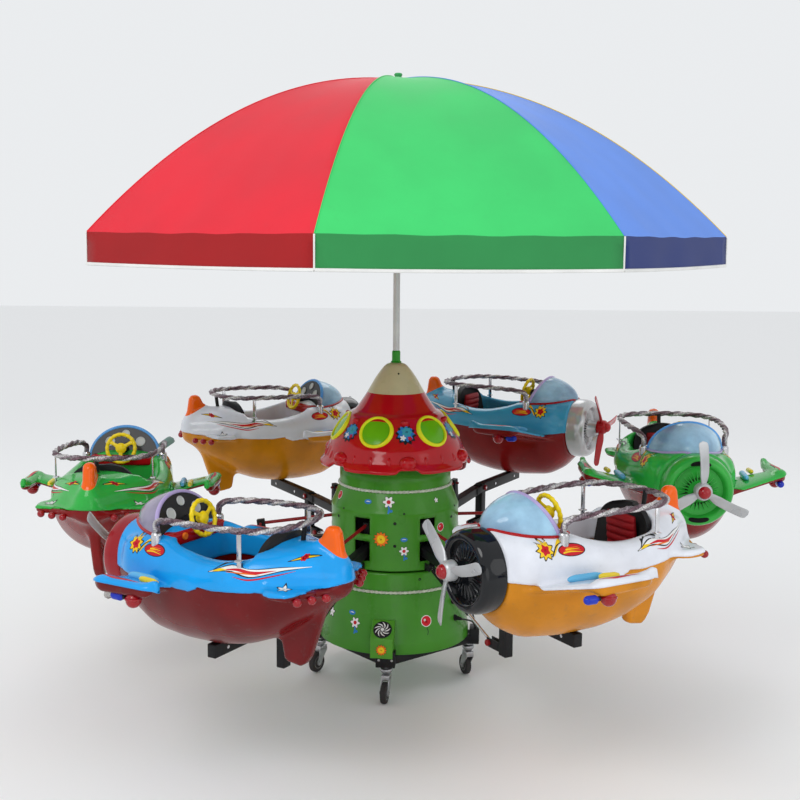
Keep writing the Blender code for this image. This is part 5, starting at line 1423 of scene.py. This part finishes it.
def seatParts():
    # Moulded tub: a pan and a round-topped back that leans to the rear
    rows, columns = 30, 25
    v = np.linspace(0.0, 1.0, rows)[:, None]
    u = np.linspace(-1.0, 1.0, columns)[None, :]
    half = 0.142 * np.sqrt(np.clip(1 - np.clip((v - 0.62) / 0.39, 0, 1) ** 2.4, 0.0, 1.0)) + 0.004
    back = -0.276 - 0.030 * v - 0.014 * (1 - u * u)
    wings = 0.030 * np.abs(u) ** 4 * (1 - 0.6 * v)
    z = 0.212 + 0.262 * v + 0 * u
    front = np.stack([back + wings + 0.012, half * u + 0 * v, z], -1).reshape(-1, 3)
    rear = np.stack([back + wings - 0.012, half * u + 0 * v, z], -1).reshape(-1, 3)
    parts = [plateOf(front, rear, rows, columns)]
    lipU = np.linspace(-1, 1, 25)[None, :]
    lipV = np.linspace(0.0, 1.0, 20)[:, None]
    x = -0.290 + 0.228 * lipV
    y = 0.148 * lipU * (1 - 0.10 * lipV ** 3)
    z = 0.226 + 0.030 * np.abs(lipU) ** 6 + 0.006 * lipV
    top = np.stack([x + 0 * y, y, z + 0 * y], -1).reshape(-1, 3)
    low = top - np.array([0.0, 0.0, 0.012])
    parts.append(plateOf(top, low, 20, 25))
    return parts


ring = {"z": 0.512, "tube": 0.0125, "feet": (0.170, 0.188, 0.446), "sides": (-0.250, 0.224, 0.405),
        "rear": (-0.374, 0.0, 0.462)}


def ringPath():
    fx, fy, fz = ring["feet"]
    z = ring["z"]
    half = [(fx, fy, fz + 0.012), (fx - 0.006, fy + 0.004, fz + 0.036), (0.115, 0.208, z - 0.012),
            (0.0, 0.228, z - 0.004), (-0.150, 0.236, z), (-0.270, 0.218, z + 0.001), (-0.355, 0.150, z + 0.001)]
    knots = half + [(-0.388, 0.0, z + 0.001)] + [(x, -y, w) for x, y, w in reversed(half)]
    run = smoothRun(knots, 420)
    return np.concatenate([[(fx, fy, fz + gap)], run, [(fx, -fy, fz + gap)]])


def garlandParts():
    # Three strands twisted round the hoop; each strand is a lobe of the section that turns with the length
    pitch, sides = 0.060, 18
    path = ringPath()
    length = np.concatenate([[0.0], np.cumsum(np.linalg.norm(np.diff(path, axis=0), axis=1))])
    tube = swept(path, ring["tube"], sides, ripple=lambda t, s: (
        0.92 + 0.20 * np.cos(3 * t - 2 * np.pi * s / pitch * 1.0) + 0.05 * np.sin(s * 900.0 + 5 * t)
        + 0.04 * np.sin(s * 1400.0 + 3.0 * t)))
    turn = (np.arange(sides) + 0.5) * 2 * math.pi / sides
    phase = (3 * turn[None, :] - 2 * math.pi * length[:-1, None] / pitch + math.pi) / (2 * math.pi)
    strand = np.floor(phase).astype(int) % 3
    count = (len(path) - 1) * sides
    verts, faces = tube
    marks = list(strand.ravel()) + [0] * (len(faces) - count)
    return [(verts, [f for f, m in zip(faces, marks) if m == k], int(k)) for k in range(3)]


# Stickers: flat ribbons and rosettes, laid on the moulding by rays from the side or from above

def ribbonShape(knots, widths, count=30):
    # Ribbon along a smooth run, as wide as the widths between its knots
    run = smoothRun(np.array([(a, b, 0.0) for a, b in knots]), count)[:, :2]
    along = np.gradient(run, axis=0)
    normal = np.stack([-along[:, 1], along[:, 0]], -1) / np.linalg.norm(along, axis=1)[:, None]
    wide = np.interp(np.linspace(0, 1, count), np.linspace(0, 1, len(widths)), widths)[:, None, None]
    verts = run[:, None, :] + normal[:, None, :] * wide * np.linspace(-0.5, 0.5, 5)[None, :, None]
    return verts.reshape(-1, 2), gridFaces(count, 5)


def rosetteShape(centre, reach, steps=60, rings=5):
    # Disc whose radius is a function of the angle
    turn = np.linspace(0.0, 2 * math.pi, steps, endpoint=False)
    share = np.linspace(0.0, 1.0, rings + 1)[1:, None]
    size = reach(turn)[None, :] * share
    verts = np.stack([centre[0] + size * np.cos(turn), centre[1] + size * np.sin(turn)], -1).reshape(-1, 2)
    faces = gridFaces(rings, steps, loopColumns=True)
    verts = np.concatenate([verts, [centre]])
    faces += [(k, (k + 1) % steps, len(verts) - 1) for k in range(steps)]
    return verts, faces


def starReach(size, points, deep=0.45, turn0=0.0):
    def reach(t):
        saw = np.abs(np.mod((t - turn0) * points / (2 * np.pi), 1.0) * 2 - 1)
        return size * (deep + (1 - deep) * saw ** 1.2)
    return reach


def ellipseReach(size, squash):
    return lambda t: size / np.sqrt(np.cos(t) ** 2 + (np.sin(t) * squash) ** 2)


stickerInks = ["stickerBlack", "stickerRed", "stickerYellow", "stickerOrange", "stickerWhite", "stickerBlue",
               "stickerTeal"]


def sideDesigns():
    # (x, z) shapes with their ink and layer: an outlined streak with ribbons in it, a flame oval, a burst
    # and a bar for the fin
    streak = [(-0.130, 0.352), (-0.215, 0.372), (-0.300, 0.362), (-0.400, 0.378), (-0.480, 0.384)]
    inner = [(x - 0.004, z + 0.001) for x, z in streak]
    lines = ((streak, [0.003, 0.022, 0.030, 0.014, 0.001], 30, 0, 0),
             (inner, [0.001, 0.016, 0.024, 0.008, 0.001], 30, 4, 1),
             ([(-0.150, 0.362), (-0.190, 0.386), (-0.240, 0.392), (-0.270, 0.378)],
              [0.001, 0.007, 0.006, 0.001], 30, 0, 2),
             ([(-0.235, 0.346), (-0.300, 0.340), (-0.380, 0.356), (-0.440, 0.372)],
              [0.001, 0.006, 0.004, 0.001], 30, 1, 2),
             ([(-0.190, 0.366), (-0.250, 0.371), (-0.310, 0.364), (-0.380, 0.373)],
              [0.001, 0.009, 0.011, 0.001], 30, 1, 2),
             ([(-0.205, 0.360), (-0.270, 0.361), (-0.330, 0.358)], [0.001, 0.005, 0.001], 30, 3, 3),
             ([(-0.150, 0.357), (-0.175, 0.364), (-0.205, 0.367)], [0.002, 0.010, 0.001], 14, 2, 3))
    shapes = [(ribbonShape(knots, widths, count), ink, layer) for knots, widths, count, ink, layer in lines]
    oval = (0.155, 0.385)
    for size, squash, layer in ((0.056, 2.6, 0), (0.052, 2.8, 1)):
        shapes.append((rosetteShape(oval, ellipseReach(size, squash)), layer, layer))
    for k in range(4):
        flame = [(0.192 - 0.006 * k, 0.377 + 0.005 * k), (0.160, 0.380 + 0.004 * k),
                 (0.114 + 0.004 * k, 0.376 + 0.006 * k)]
        shapes.append((ribbonShape(flame, [0.005, 0.004, 0.001], 14), 3 if k % 2 else 2, 2))
    burst = (0.262, 0.392)
    shapes += [(rosetteShape(burst, starReach(0.040, 9, 0.62)), 0, 0),
               (rosetteShape(burst, starReach(0.034, 9, 0.62)), 2, 1),
               (rosetteShape(burst, lambda t: 0.016 + 0.003 * np.cos(5 * t)), 1, 2),
               (ribbonShape([(0.235, 0.372), (0.200, 0.412), (0.160, 0.424)], [0.010, 0.010, 0.001], 16), 2, 2),
               (ribbonShape([(0.240, 0.368), (0.215, 0.400), (0.180, 0.414)], [0.005, 0.004, 0.001], 16), 0, 3),
               (ribbonShape([(-0.405, 0.402), (-0.450, 0.414), (-0.495, 0.418)], [0.002, 0.014, 0.002], 14), 0, 0),
               (ribbonShape([(-0.415, 0.405), (-0.450, 0.414), (-0.488, 0.417)], [0.001, 0.007, 0.001], 14), 2, 1),
               (rosetteShape((-0.450, 0.414), lambda t: 0.010 + 0.0015 * np.cos(6 * t), 24, 2), 1, 2)]
    return shapes


def topDesigns():
    # (x, y) shapes for the upper sides of the tailplane and the wing
    star = (-0.430, 0.200)
    return [(rosetteShape(star, starReach(0.032, 5, 0.42)), 0, 0),
            (rosetteShape(star, starReach(0.025, 5, 0.42)), 4, 1),
            (ribbonShape([(0.210, 0.440), (0.150, 0.450), (0.080, 0.446), (0.030, 0.448)],
                         [0.002, 0.016, 0.010, 0.001], 24), 1, 0),
            (ribbonShape([(0.170, 0.432), (0.120, 0.440), (0.070, 0.436)], [0.001, 0.006, 0.001], 16), 0, 1)]


def laidOn(tree, shape, layer, start, aim):
    # Every point goes along its ray to the moulding and stands off it by a hair
    flat, faces = shape
    spots, hit = [], []
    for u, v in flat:
        spot = tree.ray_cast(Vector(start(u, v)), Vector(aim))[0]
        hit.append(spot is not None)
        spots.append((0, 0, 0) if spot is None else spot - Vector(aim) * (0.0006 + 0.00035 * layer))
    faces = [face for face in faces if all(hit[k] for k in face)]
    return np.array([tuple(p) for p in spots]), faces


stickerSpots = [("upper", -66.0, 0.912, 0.030, "balloon"), ("upper", -26.0, 0.918, 0.018, "oval"),
                ("upper", -6.0, 0.915, 0.036, "flower"), ("upper", 42.0, 0.918, 0.014, "star"),
                ("upper", -12.0, 0.752, 0.036, "sun"), ("upper", 8.0, 0.752, 0.016, "oval"),
                ("upper", 8.0, 0.692, 0.030, "flower"), ("upper", 44.0, 0.785, 0.030, "balloon"),
                ("lower", -32.0, 0.345, 0.034, "flower"), ("lower", -36.0, 0.395, 0.018, "oval"),
                ("lower", 26.0, 0.355, 0.038, "balloon"), ("lower", -60.0, 0.366, 0.026, "star"),
                ("cap", 10.0, 1.232, 0.050, "splash"), ("cap", 70.0, 1.225, 0.050, "splash"),
                ("cap", -50.0, 1.225, 0.050, "splash"), ("cap", 130.0, 1.225, 0.050, "splash"),
                ("cap", 190.0, 1.225, 0.050, "splash"), ("upper", 165.0, 0.752, 0.036, "sun"),
                ("upper", 192.0, 0.915, 0.034, "flower"), ("lower", 165.0, 0.355, 0.038, "balloon"),
                ("lower", 205.0, 0.350, 0.034, "flower"), ("upper", 225.0, 0.752, 0.030, "balloon")]


def disc(size):
    return lambda t: np.full_like(t, size)


def motif(kind, s):
    # Plain pictures about the origin, as (shape, ink, layer): reach by angle for discs, ribbons for stalks
    if kind == "flower":
        return [(ribbonShape([(0.0, -1.3 * s), (0.1 * s, -0.8 * s), (0.0, -0.2 * s)], [0.2 * s, 0.2 * s], 12), 5, 0),
                (rosetteShape((0.25 * s, -0.95 * s), lambda t: s * (0.24 + 0.08 * np.cos(2 * t))), 5, 1),
                (rosetteShape((0.0, 0.2 * s), lambda t: s * (0.66 + 0.16 * np.cos(6 * t))), 0, 0),
                (rosetteShape((0.0, 0.2 * s), lambda t: s * (0.60 + 0.16 * np.cos(6 * t))), 4, 1),
                (rosetteShape((0.0, 0.2 * s), disc(0.26 * s)), 1, 2)]
    if kind == "sun":
        return [(rosetteShape((0.0, 0.0), starReach(1.10 * s, 12, 0.70)), 0, 0),
                (rosetteShape((0.0, 0.0), starReach(1.02 * s, 12, 0.70)), 3, 1),
                (rosetteShape((0.0, 0.0), disc(0.55 * s)), 2, 2)]
    if kind == "balloon":
        string = [(0.0, -1.4 * s), (0.16 * s, -1.0 * s), (0.0, -0.5 * s)]
        return [(ribbonShape(string, [0.08 * s, 0.08 * s], 14), 0, 0),
                (rosetteShape((0.0, 0.2 * s), lambda t: s * (0.70 + 0.10 * np.sin(t))), 4, 0),
                (rosetteShape((0.0, 0.2 * s), lambda t: s * (0.62 + 0.10 * np.sin(t))), 1, 1),
                (rosetteShape((-0.2 * s, 0.45 * s), disc(0.14 * s), 20, 2), 4, 2)]
    if kind == "oval":
        return [(rosetteShape((0.0, 0.0), ellipseReach(s, 1.6)), 5, 0),
                (ribbonShape([(-0.6 * s, 0.0), (0.0, 0.1 * s), (0.6 * s, 0.0)],
                             [0.1 * s, 0.22 * s, 0.1 * s], 12), 4, 1)]
    if kind == "star":
        return [(rosetteShape((0.0, 0.0), starReach(1.15 * s, 5, 0.45, 0.31)), 0, 0),
                (rosetteShape((0.0, 0.0), starReach(0.95 * s, 5, 0.45, 0.31)), 4, 1)]
    return [(rosetteShape((0.0, 0.0), starReach(1.05 * s, 11, 0.72)), 0, 0),
            (rosetteShape((0.0, 0.12 * s), starReach(0.86 * s, 9, 0.70)), 5, 1),
            (rosetteShape((0.1 * s, 0.30 * s), starReach(0.55 * s, 7, 0.65)), 6, 2),
            (rosetteShape((-0.3 * s, -0.30 * s), starReach(0.32 * s, 5, 0.5)), 4, 3),
            (rosetteShape((0.35 * s, -0.35 * s), starReach(0.26 * s, 5, 0.5)), 1, 3)]


def roundStickers():
    # Each motif is laid on by rays along the wall's own normal
    walls = {"upper": ("turning-drum-shell", drumRadius), "cap": ("cap-skirt", None),
             "lower": ("base-drum-shell", ringRadius)}
    for wall, (owner, radiusAt) in walls.items():
        mesh = bpy.data.objects[owner].data
        tree = BVHTree.FromPolygons([v.co.copy() for v in mesh.vertices], [tuple(p.vertices) for p in mesh.polygons])
        parts = []
        for where, angle, height, size, kind in stickerSpots:
            if where != wall:
                continue
            out = 0.268 if radiusAt is None else float(radiusAt(height))
            slope = {"cap": 37.0, "upper": 29.0 if height > 0.88 else 0.0, "lower": 8.0}[wall]
            place = (turnedTo(angle) @ Matrix.Translation((0.0, out, height))
                     @ Matrix.Rotation(math.radians(slope), 4, "X"))
            aim = place.to_3x3() @ Vector((0.0, -1.0, 0.0))
            for shape, ink, layer in motif(kind, size):
                laid = laidOn(tree, shape, layer, lambda u, v: tuple(place @ Vector((-u, 0.08, v))), tuple(aim))
                parts.append((*laid, ink))
        addPiece(wall + "-stickers", [part for part in parts if part[1]], stickerInks,
                 "base" if wall == "lower" else "turntable", outward=False, sharp=180.0,
                 slot="cap_red" if wall == "cap" else "drum_green")
    turn = turnedTo(controlBox["angle"])
    front = Matrix.Translation((0.0, controlBox["front"] + 0.0005, 0.262))
    parts = [(applied(turn @ front, [(-u, 0.0005 * layer, v) for u, v in shape[0]]), shape[1], ink)
             for shape, ink, layer in motif("sun", 0.026)]
    addPiece("box-sticker", parts, stickerInks, "base", outward=False, sharp=180.0, slot="drum_green")


def planeStickers():
    verts, quads = planeMeshes["shell"]
    tree = BVHTree.FromPolygons([Vector(v) for v in verts.tolist()], quads.tolist())
    parts = []
    for side in (-1, 1):
        for shape, ink, layer in sideDesigns():
            laid = laidOn(tree, shape, layer, lambda u, v: (u, side * 0.62, v), (0, -side, 0))
            parts.append((*laid, ink))
        for shape, ink, layer in topDesigns():
            laid = laidOn(tree, shape, layer, lambda u, v: (u, side * v, 0.80), (0, 0, -1))
            parts.append((*laid, ink))
    return [part for part in parts if part[1]]


def capsule(start, end, radius, steps=24):
    # Missile: round nose, straight body, short tapered tail
    start, end = np.array(start, float), np.array(end, float)
    t = np.concatenate([np.linspace(0.0, 0.3, 9), np.linspace(0.4, 0.8, 5), np.linspace(0.86, 1.0, 4)])
    size = radius * np.where(t < 0.3, np.sqrt(np.clip(1 - (1 - t / 0.3) ** 2, 0.003, 1)), 1.0)
    size = size * np.where(t > 0.8, 1.0 - 0.45 * (t - 0.8) / 0.2, 1.0)
    return swept(start + (end - start) * t[:, None], size, steps)


def makePlanes():
    shellVerts, shellQuads = planeMeshes["shell"]
    bellyVerts, bellyQuads = planeMeshes["belly"]
    shellQuads, bellyQuads = shellQuads.tolist(), bellyQuads.tolist()
    stickers = planeStickers()
    pane, trim = paneParts(), swept(trimLine(), screen["trim"], 12, squash=0.8)
    propeller, steering, garland, seatTub = propellerParts(), steeringParts(), garlandParts(), seatParts()
    cowls = {True: cowlParts(True), False: cowlParts(False)}
    print("plane pieces worked out")
    hoop = swept(leant(arch(0.1725, 0.002, 80, -8.0)), screen["hoop"], 14)
    dials = []
    for y, z, size in ((-0.075, 0.492, 0.024), (0.0, 0.528, 0.020), (0.075, 0.492, 0.024)):
        dial = revolved(softened([(size, 0.0), (size, 0.004), (size * 0.85, 0.0045), (size * 0.80, 0.002),
                                  (0.0, 0.002)], 0.001), 32)
        aim = Matrix.Translation(leant((0.1640, y, z))) @ Matrix.Rotation(math.radians(-66.0), 4, "Y")
        dials.append(marked(moved(aim, dial), 1))
    edge = arch(0.0, 0.006, 64, -25.0)
    panelFaces = []
    for x in (0.1645, 0.1730):
        share = np.linspace(0.0, 1.0, 10)[:, None, None]
        middle = np.array([0.0, 0.0, 0.400])
        panelFaces.append(leant(((edge[None] - middle) * share + middle + np.array([x, 0, 0])).reshape(-1, 3)))
    panel = welded(*plateOf(panelFaces[0], panelFaces[1], 10, 64))
    ledge = block((0.108, -0.158, 0.386), (0.172, 0.158, 0.437), 0.014, 4)
    knob = bar((0.100, 0.098, 0.420), (0.112, 0.098, 0.420), 0.014)
    column = bar((0.120, 0.0, 0.4688), (0.184, 0.0, 0.4528), 0.022, 24)
    sx, sy, sz = ring["sides"]
    rx, ry, rz = ring["rear"]
    posts = []
    for side in (-1, 1):
        fx, fy, fz = ring["feet"]
        posts.append(block((sx - 0.010, side * sy - 0.002, sz - 0.030),
                           (sx + 0.010, side * sy + 0.002, ring["z"] - 0.004), 0.0015))
        posts.append(block((sx - 0.014, side * sy - 0.012, sz - 0.008),
                           (sx + 0.014, side * sy + 0.012, sz - 0.001), 0.002))
        posts.append(revolvedAt((fx, side * fy, fz - 0.050),
                                [(0.021, 0.0), (0.021, 0.040), (0.017, 0.0485), (0.010, 0.0497)]))
    posts.append(marked(bar((rx, ry, rz - 0.040), (rx - 0.012, ry, ring["z"]), 0.0095), 1))
    lamps, pods, missiles, underPods = [], [], [], []
    for side in (-1, 1):
        pods.append(ellipsoid((0.125, side * 0.448, 0.266), (0.029, 0.029, 0.029)))
        pods.append(revolvedAt((0.125, side * 0.448, 0.262),
                               [(0.022, 0.0), (0.0315, 0.006), (0.0315, 0.013), (0.022, 0.018)]))
        underPods.append(marked(capsule((0.232, side * 0.447, 0.272), (0.172, side * 0.447, 0.270), 0.0165), 0))
        underPods.append(marked(bar((0.174, side * 0.447, 0.271), (0.162, side * 0.447, 0.271), 0.009), 3))
        missiles.append(marked(capsule((0.225, side * 0.285, 0.298), (0.075, side * 0.300, 0.300), 0.0150), 1))
        missiles.append(marked(capsule((0.125, side * 0.338, 0.310), (0.035, side * 0.342, 0.306), 0.0120), 2))
        start, end = np.array([-0.478, 0.250]), np.array([-0.555, 0.086])
        for k in range(3):
            x, y = start + (end - start) * (k + 0.5) / 3
            lamps.append(ellipsoid((x - 0.012, side * y, 0.279 + 0.03 * y), (0.0165, 0.0165, 0.0160), 20, 12))
    for seat, angle in seats["angles"].items():
        look = planeColours[seat]
        place, body = planePlace(angle), "carrier_" + seat

        def piece(name, parts, materials, rides=body, at=place, **more):
            return addPiece(name + "-" + seat, parts, materials, rides, place=at,
                            local=joined(parts)[0], **more)

        piece("shell", [(shellVerts, shellQuads)], [look["shell"]], outward=False, sharp=180.0,
              replaces=["plane_" + seat])
        piece("belly", [(bellyVerts, bellyQuads)], [look["belly"]], outward=False, sharp=180.0,
              slot="shell_" + look["shell"][5:].lower())
        piece("cowl", cowls[look["vents"]], [look["cowl"], "paintedShadeBlack"], outward=False, slot="black_paint")
        piece("windscreen", pane, [look["pane"]], slot="shell_blue")
        piece("screen-hoop", [hoop], [look["hoop"]], slot="shell_blue")
        piece("screen-trim", [trim], [look["trim"]], slot="cap_red")
        piece("dash", [panel, column, marked(ledge, 2), marked(knob, 3)] + dials,
              ["dashBlack", "dialPale", "dashRed", "stickerOrange"], slot="black_paint")
        piece("seat-tub", seatTub, ["seatBlack"], slot="black_paint")
        cushion = piece("seat-cushion", [pad((-0.272, 0.0, 0.345), (0.088, 0.092), 0.026, 6, 96.0, 0.35),
                                         pad((-0.165, 0.0, 0.234), (0.115, 0.090), 0.024, 6, 0.0, 0.35)],
                        ["seatRed"], sharp=180.0, slot="cap_red")
        piece("safety-hoop", garland, ["tinselPale", "tinselMauve", "tinselGrey"], sharp=180.0,
              replaces=["safety_ring_" + seat])
        piece("hoop-posts", posts, ["chrome", "blackPaint"], slot="caster_steel")
        shift = Matrix.Translation((look["podShift"], 0.0, 0.0))
        piece("wing-lamps", lamps + [moved(shift, part) for part in pods], ["lampRed"], slot="cap_red")
        piece("missiles", missiles + [moved(shift, part) for part in underPods],
              ["podBlue", "missileSky", "missileYellow", "blackPaint"], slot="shell_blue")
        piece("decals", stickers, stickerInks, outward=False, sharp=180.0, slot="shell_white")
        hub = place @ Matrix.Translation(plane["hub"])
        hub = hub @ Matrix.Rotation(math.radians(seats["bladeTurns"][seat]), 4, "X")
        piece("airscrew", propeller, [look["blades"], "lampRed" if look["blades"] != "bladeRed" else "bladeRed"],
              rides="propeller_" + seat, at=hub, replaces=["propeller_" + seat])
        tilt = (place @ Matrix.Translation(plane["wheel"])
                @ Matrix.Rotation(math.radians(plane["wheelTilt"]), 4, "Y"))
        piece("steering", steering, ["steerYellow"], rides="steering_" + seat, at=tilt,
              replaces=["steering_wheel_" + seat])


def revolvedAt(centre, profile, steps=28):
    return moved(Matrix.Translation(centre), revolved(softened(profile, 0.0015), steps))


# Lifting arms, carriers and struts

def makeRods():
    a = arm
    half = a["tube"] / 2
    beam = [block((-half, -0.030, -half), (half, a["length"] - 0.060, half), 0.0035, 3),
            block((-0.015, -0.014, 0.0), (0.015, 0.014, a["rodUp"] + 0.014), 0.003),
            block((-0.014, a["rodReach"] - 0.020, 0.0), (0.014, a["rodReach"] + 0.018, a["rodUp"] + 0.020), 0.003)]
    bright = [marked(bar((0, 0.004, a["rodUp"]), (0, a["rodReach"] - 0.004, a["rodUp"]), a["rodRadius"]), 1),
              marked(bar((-0.026, a["rodReach"], a["rodUp"]), (0.026, a["rodReach"], a["rodUp"]), 0.006, 16), 1)]
    for side in (-1, 1):
        near, far = sorted((side * 0.0203, side * 0.0263))
        beam.append(block((near, a["length"] - 0.092, -0.0185), (far, a["length"] + 0.021, 0.0185), 0.0025))
        bright.append(marked(bar((side * 0.0233, a["length"], 0), (side * 0.0363, a["length"], 0), 0.0140), 1))
        bright.append(marked(bar((side * 0.0363, a["length"], 0), (side * 0.0368, a["length"], 0), 0.0065, 6), 2))
    carrier = [block((-0.020, -0.025, -0.030), (0.020, 0.480, 0.0247), 0.0035, 3),
               block((-0.020, -0.025, -0.215), (0.020, 0.025, 0.005), 0.0035, 3)]
    for side in (-1, 1):
        near, far = sorted((side * 0.0103, side * 0.0163))
        carrier.append(block((near, -0.121, -0.205), (far, 0.0, -0.165), 0.0022))
        carrier.append(marked(bar((side * 0.0133, -0.105, -0.185), (side * 0.0283, -0.105, -0.185), 0.0140), 1))
        for y in (0.150, 0.400):
            carrier.append(marked(bar((side * 0.0195, y, -0.004), (side * 0.0225, y, -0.004), 0.008, 6), 2))
    strut = [bar((-0.0100, 0, 0), (0.0100, 0, 0), 0.012, 24),
             marked(bar((0, 0.004, 0), (0, 0.034, 0), 0.007), 2),
             bar((0, 0.026, 0), (0, 0.350, 0), 0.012, 24),
             marked(bar((0, 0.340, 0), (0, 0.574, 0), 0.007), 2)]
    for seat, angle in seats["angles"].items():
        materials = ["blackPaint", "rodRed", "chrome"]
        addPiece("arm-" + seat, beam + bright, materials, "arm_" + seat, replaces=["lift_arm_" + seat],
                 place=armPlace(angle))
        addPiece("carrier-beam-" + seat, carrier, materials, "carrier_" + seat, replaces=["carrier_" + seat],
                 place=carrierPlace(angle))
        rise = armRise(angle)
        footY = a["pivotR"] + a["length"] * math.cos(rise) - 0.105 - 0.335
        footZ = a["pinZ"] + seatLift(angle) - 0.185 - 0.619
        pivot = (turnedTo(angle) @ Matrix.Translation((0, 0.335, 0.619))
                 @ Matrix.Rotation(math.atan2(footZ, footY), 4, "X"))
        addPiece("slide-strut-" + seat, strut, materials, "strut_" + seat, replaces=["strut_" + seat], place=pivot)


makePlanes()
makeRods()
roundStickers()
print("planes and arms ready")
